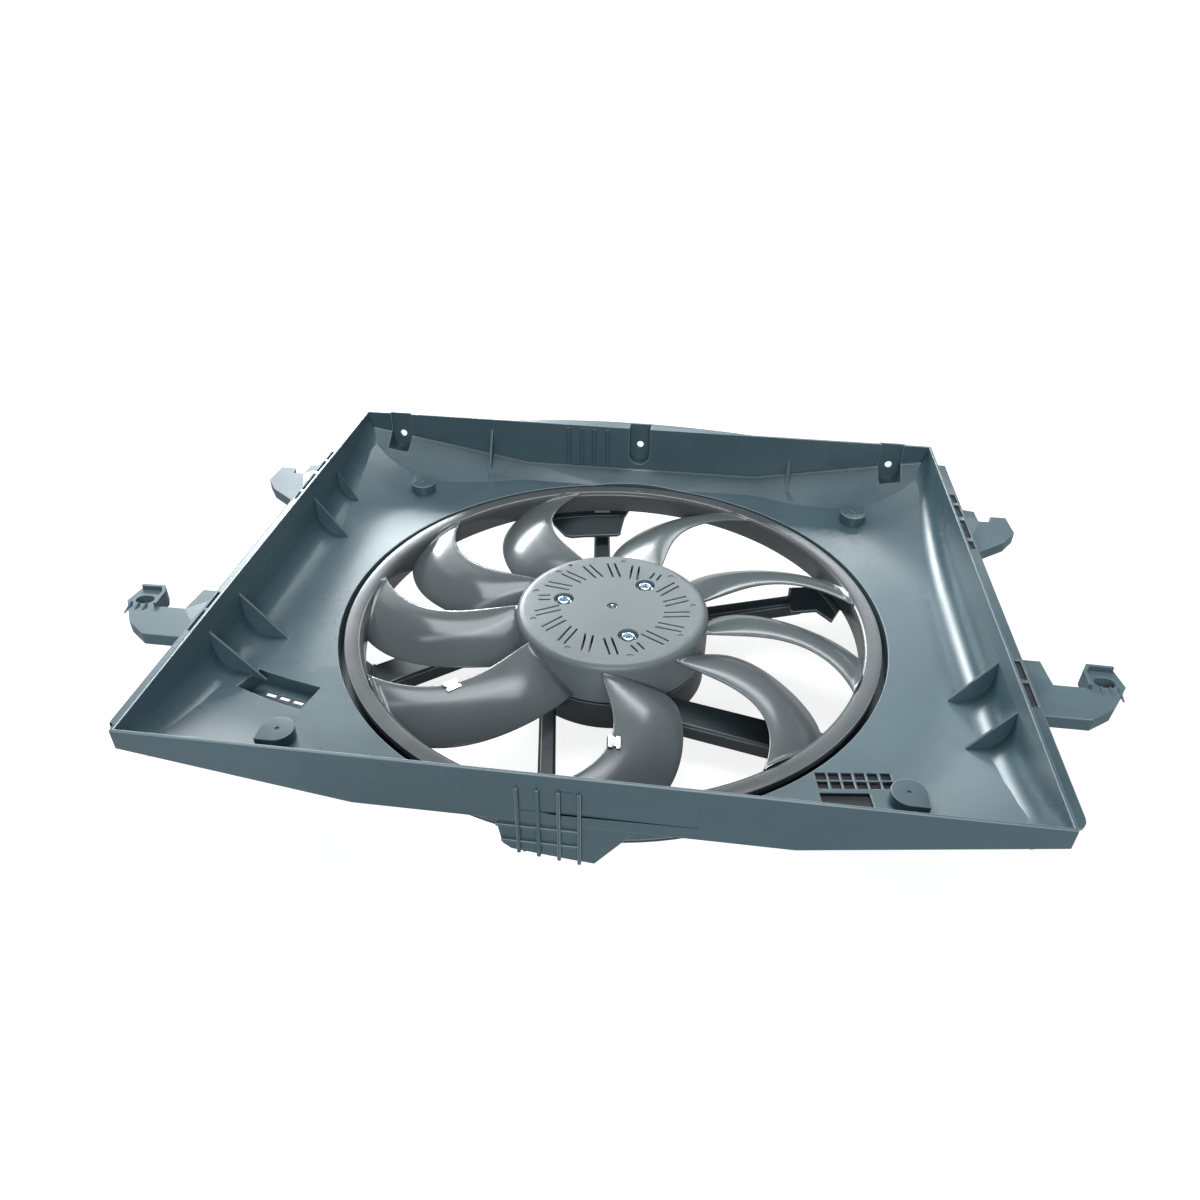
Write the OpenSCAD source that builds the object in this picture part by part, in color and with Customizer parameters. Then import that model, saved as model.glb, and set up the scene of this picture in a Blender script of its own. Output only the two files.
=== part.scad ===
// Radiator cooling fan: a moulded tray shroud, a nine-bladed ring fan and a flat outer-rotor motor.
// The fan axis is Z through the origin. The motor's rear face lies at z = 0 and the rim faces +Z.

/* [Shroud tray] */
// Distance from the air opening to the outside of the side walls
side_margin = 64; // [55:1:80]
// Distance from the air opening to the outside of the near and far walls
end_margin = 20; // [17:1:40]
// Height of the rim above the motor's rear face
rim_z = 118; // [116:1:130]
// Depth of the tray from the rim to its flat floor
tray_depth = 56; // [50:1:60]
// Thickness of the moulded walls
wall = 2.4; // [2:0.1:3]
// Radius of the coves along the side walls
side_cove = 22; // [16:1:28]
// Height of the sloping step along the far wall
far_step_h = 11.5; // [8:0.5:16]
// Height of the sloping step along the near wall
near_step_h = 16.5; // [10:0.5:20]
// Slope of those steps down to the floor, in degrees
step_deg = 32; // [28:1:45]
// Distance from the air opening at which the floor starts to rise to the corners
bowl_margin = 37; // [30:1:43]
// Rise of the floor from there to the corners
bowl_rise = 46; // [36:1:48]
// Width of the rim flange at the middle of the far wall
far_flange = 12; // [6:1:16]

/* [Air opening] */
// Radial gap between the fan ring's lip and the opening
lip_gap = 5; // [4:0.5:8]
// Length of the barrel below the floor
barrel_len = 15; // [13:0.5:17]

/* [Fan] */
// Diameter over the lip of the fan's ring
ring_od = 440; // [420:1:444]
// Radial width of the ring's rounded lip
ring_lip = 12; // [8:0.5:16]
// Axial height of the ring
ring_h = 21; // [18:1:24]
// Drop of the ring's lip below the rim
ring_drop = 55; // [50:1:57]
// Wall of the ring's cylinder
ring_wall = 2.5; // [2:0.1:3]
// Outer diameter of the hub's skirt
hub_od = 161; // [156:1:166]
// Diameter of the flat disc on the hub's face
hub_disc = 149; // [142:1:152]
// Drop of the hub's face below the rim
hub_drop = 49.2; // [47:0.1:52]
// Height of the hub's skirt
hub_h = 37; // [34:1:38]
// Wall of the hub
hub_wall = 2.6; // [2:0.1:3]
// Thickness of a blade at its root
blade_root_t = 3.4; // [2.6:0.1:4.5]
// Thickness of a blade at its tip
blade_tip_t = 2.4; // [1.8:0.1:3]
// Rise of the blade section above its chord
blade_camber = 4; // [2:0.5:6]
// Width of a ventilation slot in the hub's face
slot_w = 1.8; // [1.2:0.1:2.5]

/* [Motor] */
// Diameter of the shaft
shaft_d = 8; // [8:1:9]
// Outside diameter of the rotor bell
bell_od = 136; // [128:1:140]
// Height of the rotor bell
bell_h = 26; // [24:1:27]
// Sheet thickness of the rotor bell
bell_t = 2.2; // [1.8:0.1:2.6]
// Thickness of the magnets
magnet_t = 5; // [4:0.5:6]
// Air gap between the magnets and the stator
air_gap = 1; // [0.8:0.1:1.4]
// Length of the stator's iron
core_len = 16; // [12:1:17]
// Number of stator teeth
tooth_count = 12; // [9:3:15]
// Number of magnets
magnet_count = 10; // [8:2:14]
// Diameter of the circle of the three fan screws
hub_screw_pcd = 84; // [78:1:90]
// Outside diameter of the bearings
bearing_od = 22; // [22:1:24]
// Width of the bearings
bearing_w = 7; // [7:1:8]
// Diameter of the rear cover
cover_od = 132; // [126:1:134]
// Width of the motor carrier's collar around the rear cover
collar_rim = 14; // [13:0.5:17]
// Thickness of the cast base
base_t = 4; // [3.5:0.5:5]

/* [Carrier] */
// Depth of the spokes
spoke_h = 13; // [10:1:15]
// Width of the carrier's outer ring
flange_w = 16.9; // [14:0.1:17]

/* [Fixings] */
// Distance from a side wall to the slotted hole of its lower ear
ear_reach = 64; // [60:1:90]
// Length of an ear's slotted hole
ear_slot_l = 14; // [12:1:16]
// Width of an ear's slotted hole
ear_slot_w = 10; // [8:0.5:11]
// Drop of the ears' top face below the rim
ear_drop = 13; // [11:1:16]
// Height of the ears' turned-down edge
ear_h = 10; // [8:1:14]
// Spacing of the three holes in the far wall
wall_hole_pitch = 252; // [230:1:256]
// Diameter of the holes in the far wall
wall_hole_d = 6.5; // [5:0.5:8]
// Drop of the wall holes below the rim
wall_hole_drop = 22.8; // [20:0.1:26]
// Width of the round-bottomed pockets at the wall holes
wall_pocket_w = 21; // [18:0.5:24]

/* [Hidden] */
$fn = 96;
// Overlap that lets cuts run past a face
eps = 0.5;
// Clearance of parts that seat in or on each other at a round face
seat = 0.05;

// Half sizes and levels of the tray
opening_r = ring_od / 2 + lip_gap;
half_w = opening_r + side_margin;
half_d = opening_r + end_margin;
floor_z = rim_z - tray_depth;
bowl_start = opening_r + bowl_margin;
step_ledge = 3;
step_tilt = 10;
far_step_run = 118;
near_step_run = 138;
barrel_ro = opening_r + wall;
barrel_z = floor_z - wall - barrel_len;

// Levels and radii of the fan
ring_z = rim_z - ring_drop;
ring_ri = ring_od / 2 - ring_lip - ring_wall;
hub_z = rim_z - hub_drop;
hub_r = hub_od / 2;
shoulder_r = hub_r - hub_disc / 2;
blade_bite = 1.2;
le_z = ring_z - 1.4;
blade_gap_deg = [0, 36.7, 30.7, 38.2, 51.5, 43.8, 31.9, 32.7, 44.6];
first_blade_deg = 113.2;
dimple_deg = [88, 140.3, 169.8, 204.1, 244.9, 288.1, 330.4, 7.7, 47.4];
fan_screw_deg = 54;
slot_deg = 9.5;

// Levels and radii of the motor, from the hub down
pocket_drop = 4;
pocket_floor = 3;
bell_z = hub_z - pocket_drop - pocket_floor;
bell_r = bell_od / 2;
shaft_r = shaft_d / 2;
shaft_top = hub_z - 1.2;
magnet_ro = bell_r - bell_t - seat;
magnet_ri = magnet_ro - magnet_t;
stator_r = magnet_ri - air_gap;
bore_r = bearing_od / 2;
tube_ro = bore_r + 4;
core_z1 = bell_z - bell_t - 6;
core_z0 = core_z1 - core_len;
frame_t = 1;
coil_over = 3.2;
base_z1 = core_z0 - frame_t - coil_over - 1.6;
base_z0 = base_z1 - base_t;
collar_r = cover_od / 2 + collar_rim;
base_r = collar_r - 6;
boss_r = shaft_r + 5;
boss_len = 3.5;
front_bearing_z1 = bell_z - bell_t - boss_len - 0.3;
rear_bearing_z0 = base_z0 - 13;
tube_z0 = rear_bearing_z0 - 0.5;
shaft_z0 = tube_z0 - 3;
cover_r = cover_od / 2;
cover_wall = 2.5;
board_z1 = base_z0 - 5;
board_t = 1.6;
gasket_t = 1;

groove_z = rear_bearing_z0 - 0.9;
hub_screw_d = 5;

// Teeth and coils of the stator
tooth_w = 9;
shoe_gap = 3;
shoe_w = 2 * PI * stator_r / tooth_count - shoe_gap;
coil_r0 = tube_ro + 10;
coil_r1 = stator_r - 5;
coil_t = 3.5;

// Screws, posts and connector of the motor's rear side
base_screw_deg = [30, 150, 270];
base_screw_r = base_r - 3;
base_screw_d = 3.5;
board_post_deg = [0, 90, 180, 270];
board_post_r = 50;
cover_screw_deg = [10, 100, 190, 280];
cover_screw_r = cover_r - 4;
cover_screw_d = 3;
post_r = 4;
fin_pitch = 8;
fin_gap = 5;
fin_h = 3;
cover_floor = 6;
connector_deg = 135;
socket_w = 34;
socket_z0 = 4;
socket_z1 = 20;
pin_y = [-9, -3, 3, 9];
pin_w = 2;
pin_t = 0.8;
pin_z = (socket_z0 + socket_z1) / 2;

// Carrier under the motor's base
seat_z1 = base_z0;
seat_t = 3;
collar_z1 = hub_z - hub_h - 2.5;
collar_z0 = 4;
carrier_z1 = barrel_z;
flange_ri = barrel_ro - flange_w;
flange_t = 3;
rise_r = flange_ri - 8;
spoke_z1 = hub_z - hub_h - 4.2;
spoke_z0 = spoke_z1 - spoke_h;
plate_z1 = ring_z - ring_h - 4;
plate_t = 3;

// Holes of the lower ears, and the tips of the upper hooks, along Y
ear_x = half_w + ear_reach;
ear_y = -93;
hook_y = 133;

// Cable pocket, vents and bosses of the floor
cable_r = opening_r + 45.9;
cable_deg = 209.4;
vent_r = opening_r + 27.6;
vent_deg = -43.2;
boss_x = half_w - 74;
boss_y = half_d - 62;

function blade_deg(i) = i == 0 ? first_blade_deg : blade_deg(i - 1) + blade_gap_deg[i];

// Value at u from 0 to 1 of the smooth curve through five evenly spaced values
function weight(j, u) = j == 0 ? (u - 1) * (u - 2) * (u - 3) * (u - 4) / 24
    : j == 1 ? -u * (u - 2) * (u - 3) * (u - 4) / 6
    : j == 2 ? u * (u - 1) * (u - 3) * (u - 4) / 4
    : j == 3 ? -u * (u - 1) * (u - 2) * (u - 4) / 6
    : u * (u - 1) * (u - 2) * (u - 3) / 24;
function through(v, u) = v[0] * weight(0, 4 * u) + v[1] * weight(1, 4 * u) + v[2] * weight(2, 4 * u)
    + v[3] * weight(3, 4 * u) + v[4] * weight(4, 4 * u);

module tube(ro, ri, z0, z1) {
    translate([0, 0, z0]) difference() {
        cylinder(r = ro, h = z1 - z0);
        translate([0, 0, -eps]) cylinder(r = ri, h = z1 - z0 + 2 * eps);
    }
}

module disc(r, z0, z1) {
    translate([0, 0, z0]) cylinder(r = r, h = z1 - z0);
}

module block(x0, x1, y0, y1, z0, z1) {
    translate([x0, y0, z0]) cube([x1 - x0, y1 - y0, z1 - z0]);
}

module both_sides() {
    children();
    mirror([1, 0, 0]) children();
}

// Tray form that is inside the walls at grow 0 and outside them at grow wall
module tray_form(grow, top) {
    in_w = half_w - wall;
    in_d = half_d - wall;
    z0 = floor_z - grow;
    intersection() {
        trough(in_w, in_d + 10, side_cove, grow, z0, top);
        block(-half_w - 1, half_w + 1, -in_d - grow, in_d + grow, z0, top);
        bowl(grow, top);
        step_space(near_step_h, near_step_run, grow);
        mirror([0, 1, 0]) step_space(far_step_h, far_step_run, grow);
    }
}

// Space above the near wall's step, level in the middle and rising to both corners
module step_space(h, run, grow) {
    intersection() {
        above_step(h, 0, 0, grow);
        above_step(h, run, step_tilt, grow);
        mirror([1, 0, 0]) above_step(h, run, step_tilt, grow);
    }
}

// Space above one stretch of a step: over its ledge, and over its slope down to the floor
module above_step(h, x, tilt, grow) {
    reach = 2 * half_w;
    translate([x, wall - half_d, floor_z + h]) rotate([0, -tilt, 0]) {
        translate([0, 0, -grow]) block(-reach, reach, -reach, reach, 0, half_w);
        translate([0, step_ledge, 0]) rotate([-step_deg, 0, 0])
            translate([0, 0, -grow]) block(-reach, reach, -reach, reach, 0, 2 * half_w);
    }
}

// Long trough with coved edges, along Y
module trough(half, reach, cove, grow, z0, top) {
    block(-half - grow, half + grow, -reach, reach, z0 + grow + cove, top);
    block(-half + cove, half - cove, -reach, reach, z0, top);
    for (s = [-1, 1])
        translate([s * (half - cove), reach, z0 + grow + cove]) rotate([90, 0, 0])
            cylinder(r = cove + grow, h = 2 * reach);
}

// Bowl whose floor rises smoothly to the corners
module bowl(grow, top) {
    reach = 385;
    span = reach - bowl_start;
    z0 = floor_z - grow;
    steps = 8;
    rise = [for (i = [0 : steps]) let (u = i / steps)
        [bowl_start + span * u, z0 + bowl_rise * (1.45 * u * u - 0.45 * u * u * u)]];
    rotate_extrude()
        polygon(concat([[0, z0]], rise, [[reach, top], [0, top]]));
}

// Web that braces a side wall across its cove
module side_web(y, run) {
    translate([0, y + 1, 0]) rotate([90, 0, 0]) linear_extrude(2)
        polygon([[half_w - 1, rim_z - ear_drop], [half_w - run, floor_z - 1], [half_w - 1, floor_z - 1]]);
}

// Web that braces the far wall
module far_web(x, top_drop) {
    translate([x - 1.2, 0, 0]) rotate([90, 0, 90]) linear_extrude(2.4)
        polygon([[half_d - 1, rim_z - top_drop], [half_d - 29, floor_z - 1], [half_d - 1, floor_z - 1]]);
}

// Floor boss with one square corner, turned towards the tray's corner
module floor_boss(x, y) {
    r = 12;
    top = floor_z + 10;
    translate([x, y, floor_z - 1]) difference() {
        union() {
            cylinder(r = r, h = top - floor_z + 1);
            block(0, r, 0, r, 0, top - floor_z + 1);
        }
        translate([0, 0, top - floor_z]) cylinder(r = 1.6, h = 2);
    }
}

// Thin flange along a side wall, rounded at its near end, with the rows of slots beside the ears
module side_flange() {
    y0 = -half_d + 8;
    y1 = half_d - 24;
    z0 = rim_z - 10;
    difference() {
        union() {
            block(half_w - 1, half_w + 11, y0 + 11, y1, z0, z0 + 2);
            intersection() {
                translate([half_w, y0 + 11, z0]) cylinder(r = 11, h = 2);
                block(half_w - 1, half_w + 12, y0 - 1, y0 + 12, z0, z0 + 2);
            }
        }
        for (run = [[146, 162], [121, 142], [85, 115], [67, 80], [-103, -82], [-131, -106]])
            block(half_w + 4.5, half_w + 9, run[0], run[1], z0 - eps, z0 + 2 + eps);
    }
}

// Skirted plate of an ear: an outline whose underside is hollow
module ear_plate(outline, pocket) {
    z1 = rim_z - ear_drop;
    translate([0, 0, z1 - ear_h]) difference() {
        linear_extrude(ear_h) polygon(outline);
        translate([0, 0, -eps]) linear_extrude(ear_h - wall + eps) polygon(pocket);
    }
}

// Lower ear with its hooked head and slotted hole, drawn from the hole
module lower_ear() {
    root = half_w - 1 - ear_x;
    neck = half_w + 10 - ear_x;
    z1 = rim_z - ear_drop;
    slot_run = (ear_slot_l - ear_slot_w) / 2;
    translate([ear_x, ear_y, 0]) difference() {
        union() {
            ear_plate([[root, 19], [-38, 19], [-36, -7], [-13.5, -7], [-12.5, 9], [-8.5, 16.5], [10, 16], [13, -3],
                       [-3, -28], [-20, -40.5], [root, -40.5]],
                      [[neck, 16], [-40.5, 16], [-38.5, -10], [-14, -10], [-8, -15], [2, -15], [-5, -25.5],
                       [-21, -38], [neck, -38]]);
            // Raised rim round the hook
            translate([0, 0, z1 - 1]) linear_extrude(4) polygon([[-13.5, -7], [-12.5, 9], [-8.5, 16.5], [10, 16],
                [9.5, 13.5], [-7, 14], [-10, 8.5], [-11, -7]]);
            // Three small gussets below the hole
            for (i = [0 : 2])
                translate([i * 6 - 5.5, -10, z1 - 1]) rotate([90, 0, 0]) rotate([0, 90, 0])
                    linear_extrude(1.4) polygon([[-8, 0], [4, 0], [4, 3]]);
        }
        for (s = [-1, 1]) translate([s * slot_run, 0, z1 - ear_h - eps]) cylinder(d = ear_slot_w, h = ear_h + 6);
        block(-slot_run, slot_run, -ear_slot_w / 2, ear_slot_w / 2, z1 - ear_h - eps, z1 + 6);
    }
}

// Upper hook without a hole, drawn from its tip
module upper_hook() {
    root = half_w - 1 - ear_x;
    neck = half_w + 13 - ear_x;
    translate([ear_x, hook_y, 0])
        ear_plate([[root, 13], [-40.5, 8], [-40, -9], [-30.5, -9], [-28.5, 0], [-15, 0], [-13.5, -26], [-25.5, -43],
                   [root, -73]],
                  [[neck, -11.5], [-28, -11.5], [-26, -2.5], [-17.5, -2.5], [-16.1, -25], [-27, -40.5], [neck, -60]]);
}

// Light flange along the middle of the far wall, with an arc as its edge
module far_flange_plate() {
    half_run = 128;
    mid_x = -15;
    r = (half_run * half_run + far_flange * far_flange) / (2 * far_flange);
    intersection() {
        translate([mid_x, half_d + far_flange - r, rim_z - wall]) cylinder(r = r, h = wall, $fn = 256);
        block(mid_x - half_run - 4, mid_x + half_run + 4, half_d - 1, half_d + far_flange + 1, rim_z - wall, rim_z);
    }
}

// Round-bottomed pocket at a hole in the far wall, which reaches past the wall by depth, grown by g
module wall_pocket(x, depth, g) {
    r = wall_pocket_w / 2 + g;
    y1 = half_d + depth + g - wall;
    run = 20 + depth;
    z = rim_z - wall_hole_drop - 9;
    translate([x, y1, z]) rotate([90, 0, 0]) cylinder(r = r, h = run);
    block(x - r, x + r, y1 - run, y1, z, rim_z + g - wall + eps);
}

module wall_pockets(g) {
    for (x = [-wall_hole_pitch, wall_hole_pitch]) wall_pocket(x, 2.6, g);
    wall_pocket(0, far_flange, g);
}

// Bracket with four ribs under the near wall, tied to the barrel
module near_bracket() {
    y = -half_d;
    z = rim_z;
    translate([0, y + wall + 1.2, 0]) rotate([90, 0, 0]) linear_extrude(wall)
        polygon([[-47, z - 37], [-42.5, z - 66], [-37.5, z - 70], [16.6, z - 76.7], [46, z - 37]]);
    for (i = [0 : 3])
        block(-32.7 + i * 12.9, -30.3 + i * 12.9, y - 2, y + 2, z - 70 - i * 1.8, z - 11.5);
    block(-46, 8, y - 0.6, y + 2, z - 48.5, z - 46);
    block(-43, 8, y - 0.6, y + 2, z - 62.5, z - 60);
    for (x = [-30, 9]) block(x, x + wall, y + 2, -opening_r + 4, barrel_z, z - 46);
}

// Place of the cable pocket
module in_cable_pocket() {
    rotate([0, 0, cable_deg]) translate([cable_r, 0, 0]) rotate([0, 0, -cable_deg - 13]) children();
}

// Sunken cable pocket in the floor, grown by g
module floor_pocket(g) {
    in_cable_pocket() block(-27 - g, 27 + g, -13 - g, 13 + g, floor_z - 10 - g, floor_z + 30);
}

module shroud() {
    color([0.30, 0.36, 0.38]) difference() {
        union() {
            difference() {
                union() {
                    tray_form(wall, rim_z);
                    translate([0, 0, barrel_z]) cylinder(r = barrel_ro, h = barrel_len + wall, $fn = 180);
                    intersection() {
                        floor_pocket(wall);
                        block(-half_w, half_w, -half_d, half_d, barrel_z, floor_z + 8);
                    }
                    intersection() {
                        wall_pockets(wall);
                        block(-half_w, half_w, half_d - 30, half_d + 20, floor_z - wall, rim_z);
                    }
                    far_flange_plate();
                }
                tray_form(0, rim_z + 1);
                translate([0, 0, wall]) wall_pockets(0);
                floor_pocket(0);
            }
            intersection() {
                tray_form(wall, rim_z);
                union() {
                    for (y = [-76, -130]) side_web(y, 31);
                    for (web = [[141, 24], [84, 31], [-72, 36], [-122, 38]]) mirror([1, 0, 0]) side_web(web[0], web[1]);
                    far_web(-155, 9);
                    far_web(153, 22);
                    for (x = [-73.5, -59.5, -47, -33])
                        translate([x, half_d - wall, floor_z + far_step_h]) cylinder(r = 2, h = tray_depth - far_step_h - 3);
                    for (sx = [0, 1], sy = [0, 1]) mirror([sx, 0, 0]) mirror([0, sy, 0]) floor_boss(boss_x, boss_y);
                }
            }
            both_sides() {
                side_flange();
                lower_ear();
                upper_hook();
            }
            near_bracket();
        }
        translate([0, 0, barrel_z - eps]) cylinder(r = opening_r, h = 100, $fn = 180);
        for (i = [-1 : 1])
            translate([i * wall_hole_pitch, half_d - 10, rim_z - wall_hole_drop]) rotate([-90, 0, 0])
                cylinder(d = wall_hole_d, h = 40);
        // Vent grid of two rows and the window beside it
        rotate([0, 0, vent_deg]) translate([vent_r, 0, 0]) rotate([0, 0, 7 - vent_deg]) {
            for (i = [0 : 5], j = [0, 1])
                block(-26 + i * 8.8, -26 + i * 8.8 + 7, j * 8 - 2, j * 8 + 4.5, floor_z - 20, floor_z + 30);
            block(-26, 7, -21, -6, floor_z - 20, floor_z + 30);
        }
        // Slots through the cable pocket's floor
        in_cable_pocket()
            for (slot = [[-16, 0], [-4, 0], [8, 0], [-4, -9]])
                block(slot[0], slot[0] + 9.5, slot[1], slot[1] + 4, floor_z - 20, floor_z + 5);
        // Recessed panel on the near wall
        block(-32, 79, -half_d - 1, -half_d + 0.4, rim_z - 32, rim_z - 12);
    }
}

// Straight spoke along a heading, offset from the axis, from start out to the outer ring
module spoke(heading, offset_y, w, start) {
    rotate([0, 0, heading]) translate([0, offset_y, 0]) {
        translate([start, 0, 0]) rotate([90, 0, 90]) linear_extrude(opening_r + 3) polygon([[-w / 2, spoke_z0],
            [w / 2, spoke_z0], [w / 2, spoke_z1 - 2], [w / 2 - 2, spoke_z1], [2 - w / 2, spoke_z1], [-w / 2, spoke_z1 - 2]]);
        block(rise_r - 20, opening_r + 3, -w / 2, w / 2, spoke_z0 + 2, carrier_z1);
    }
}

// Space in which the spokes lie: level near the motor, and rising from rise_r to the barrel's end
module spoke_space() {
    rotate_extrude() polygon([[0, 0], [opening_r - 38, spoke_z0], [barrel_ro - 1, carrier_z1 - 9],
        [barrel_ro - 1, carrier_z1 - 1], [flange_ri + 2, carrier_z1 - 1], [rise_r, spoke_z1], [0, spoke_z1]]);
}

// Root plate of a spoke, carried on ribs across it; its outline is given in degrees and inward from the opening
module root_plate(outline, heading, offset_y, w) {
    points = [for (p = outline) (opening_r - p[1]) * [cos(p[0]), sin(p[0])]];
    translate([0, 0, plate_z1 - plate_t]) linear_extrude(plate_t) polygon(points);
    intersection() {
        linear_extrude(carrier_z1 - 1) polygon(points);
        tube(barrel_ro - 1, flange_ri + 2, plate_z1 - 1, carrier_z1 - 1);
    }
    rotate([0, 0, heading]) translate([0, offset_y, 0]) for (inset = [47, 33, 19])
        block(opening_r - inset, opening_r - inset + wall, 2 - w / 2, w / 2 - 2, spoke_z1 - 1, plate_z1 - 1);
}

// Whole carrier: spokes, root plates, flange and collar
module carrier_form() {
    difference() {
        union() {
            intersection() {
                union() {
                    spoke(97, 8, 16, 0);
                    spoke(21, 28, 16, 0);
                    spoke(-13, -60, 30, 30);
                    spoke(-81, -54, 13, 30);
                    spoke(220, -68, 30, 30);
                }
                spoke_space();
            }
            intersection() {
                union() {
                    root_plate([[113.2, -1], [114.4, 30], [112.5, 55], [110.5, 59.5], [105.7, 60], [94.5, 59.5], [93.4, 56],
                                [93.3, 49], [92.6, 23], [91, -1]], 97, 8, 16);
                    root_plate([[19.8, 58], [20.3, 61], [24, 58], [31.1, 42], [26.6, -4], [13.1, -4], [18.9, 15.5], [14, 30],
                                [19.3, 38]], 21, 28, 16);
                }
                disc(barrel_ro - 1.4, 0, carrier_z1);
            }
            tube(barrel_ro, flange_ri, carrier_z1 - flange_t, carrier_z1);
            disc(collar_r, collar_z0, collar_z1);
        }
        // Seat of the motor's base, and the way through for its cover
        disc(base_r + 0.4, seat_z1, collar_z1 + eps);
        disc(cover_r + 1, -eps, seat_z1 + eps);
        disc(base_r + 0.4, -eps, seat_z1 - seat_t);
        for (a = base_screw_deg) rotate([0, 0, a]) translate([base_screw_r, 0, 0]) disc(base_screw_d / 2, 0, seat_z1 + 1);
        // Way out of the connector
        rotate([0, 0, connector_deg]) block(40, collar_r + 12, -socket_w / 2 - 1, socket_w / 2 + 1, 0, socket_z1 + 1);
    }
}

// Flange on the barrel's end, with the outer ends of the spokes and of the root plates
module carrier_rim() {
    color([0.22, 0.26, 0.28]) intersection() {
        carrier_form();
        tube(barrel_ro + 1, rise_r, 0, carrier_z1 + 1);
    }
}

module motor_carrier() {
    color([0.22, 0.26, 0.28]) intersection() {
        carrier_form();
        disc(rise_r - seat, 0, carrier_z1 + 1);
    }
}

module fan_hub() {
    h = hub_z;
    color([0.60, 0.63, 0.65]) difference() {
        union() {
            rotate_extrude() polygon(concat(
                [[0, h - hub_wall], [0, h], [hub_disc / 2 - 1, h]],
                [for (i = [0 : 6]) [hub_disc / 2 + shoulder_r * sin(i * 15), h - 0.4 - shoulder_r * (1 - cos(i * 15))]],
                [[hub_r, h - hub_h], [hub_r - hub_wall, h - hub_h], [hub_r - hub_wall, h - 8], [hub_r - 5, h - hub_wall - 2],
                 [hub_disc / 2 - 4, h - hub_wall]]));
            for (i = [0 : 2]) rotate([0, 0, fan_screw_deg + i * 120]) translate([hub_screw_pcd / 2, 0, 0])
                disc(11, bell_z, h - 1);
            // Boss round the shaft's end
            disc(shaft_r + 5, bell_z, h - 1);
            // Stiffening ribs inside the skirt
            for (i = [0 : 11]) rotate([0, 0, i * 30 + 9])
                block(bell_r + 1, hub_r - 1, -0.9, 0.9, h - hub_h + 6, h - 3);
        }
        disc(shaft_r + 0.6, bell_z - 1, h + 1);
        for (i = [0 : 2]) rotate([0, 0, fan_screw_deg + i * 120]) translate([hub_screw_pcd / 2, 0, 0]) {
            disc(8.5, h - pocket_drop, h + 1);
            disc(hub_screw_d / 2 + 0.3, bell_z - 1, h);
        }
        // Eighteen pairs of swirling ventilation slots, shorter where a screw is near
        for (i = [0 : 17], j = [0, 1]) {
            near_screw = i % 6 == 3;
            rotate([0, 0, slot_deg + i * 20]) translate([near_screw ? 52 : 42 - j, -10.4 - j * 6.2, h - hub_wall - 1])
                block(0, near_screw ? 10 : 22, -slot_w / 2, slot_w / 2, 0, hub_wall + 2);
        }
        for (a = dimple_deg) rotate([0, 0, a]) translate([68, 0, 0]) disc(2.6, h - 0.6, h + 1);
        rotate([0, 0, 128]) translate([71, 0, 0]) disc(1.6, h - 6, h + 1);
    }
}

// Chord lengths in degrees, sweep of the leading edge and drop to the trailing edge, from hub to ring
blade_sweep = [0, 5.2, 6.3, 2, -7.9];
blade_chord = [35.4, 28.3, 21.4, 18.8, 18.8];
blade_fall = [27.7, 19.2, 19, 20.2, 19.4];
span_steps = 11;
chord_steps = 8;

function blade_mid(u, s) =
    let (r = hub_r - blade_bite + (ring_ri + blade_bite - hub_r + blade_bite) * u,
         a = through(blade_sweep, u) + through(blade_chord, u) * s)
    [r * cos(a), r * sin(a), le_z - through(blade_fall, u) * s + 4 * blade_camber * s * (1 - s)];
function unit(v) = v / norm(v);
function blade_normal(u, s) = let (du = blade_mid(u + 0.01, s) - blade_mid(u - 0.01, s),
    ds = blade_mid(u, s + 0.02) - blade_mid(u, s - 0.02)) unit(cross(du, ds));
function blade_half(u, s) = (blade_root_t + (blade_tip_t - blade_root_t) * u) / 2
    * (0.35 + 0.65 * sqrt(max(0, 4 * s * (1 - s))));

module blade() {
    m = span_steps;
    n = chord_steps;
    row = n + 1;
    side = row * (m + 1);
    pts = [for (k = [1, -1], i = [0 : m], j = [0 : n])
        let (u = i / m, s = j / n) blade_mid(u, s) + k * blade_half(u, s) * blade_normal(u, s)];
    up = [for (i = [0 : m - 1], j = [0 : n - 1]) let (a = i * row + j)
        each [[a, a + row + 1, a + row], [a, a + 1, a + row + 1]]];
    down = [for (i = [0 : m - 1], j = [0 : n - 1]) let (a = side + i * row + j)
        each [[a, a + row, a + row + 1], [a, a + row + 1, a + 1]]];
    lead = [for (i = [0 : m - 1]) let (a = i * row)
        each [[a, a + row, side + a + row], [a, side + a + row, side + a]]];
    trail = [for (i = [0 : m - 1]) let (a = i * row + n)
        each [[a + row, a, side + a], [a + row, side + a, side + a + row]]];
    root = [for (j = [0 : n - 1]) each [[j + 1, j, side + j], [j + 1, side + j, side + j + 1]]];
    tip = [for (j = [0 : n - 1]) let (a = m * row + j)
        each [[a, a + 1, side + a + 1], [a, side + a + 1, side + a]]];
    polyhedron(pts, concat(up, down, lead, trail, root, tip));
}

// One of the nine blades in its place on the hub
module fan_blade(i) {
    color([0.42, 0.47, 0.49]) rotate([0, 0, blade_deg(i)]) blade();
}

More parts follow.
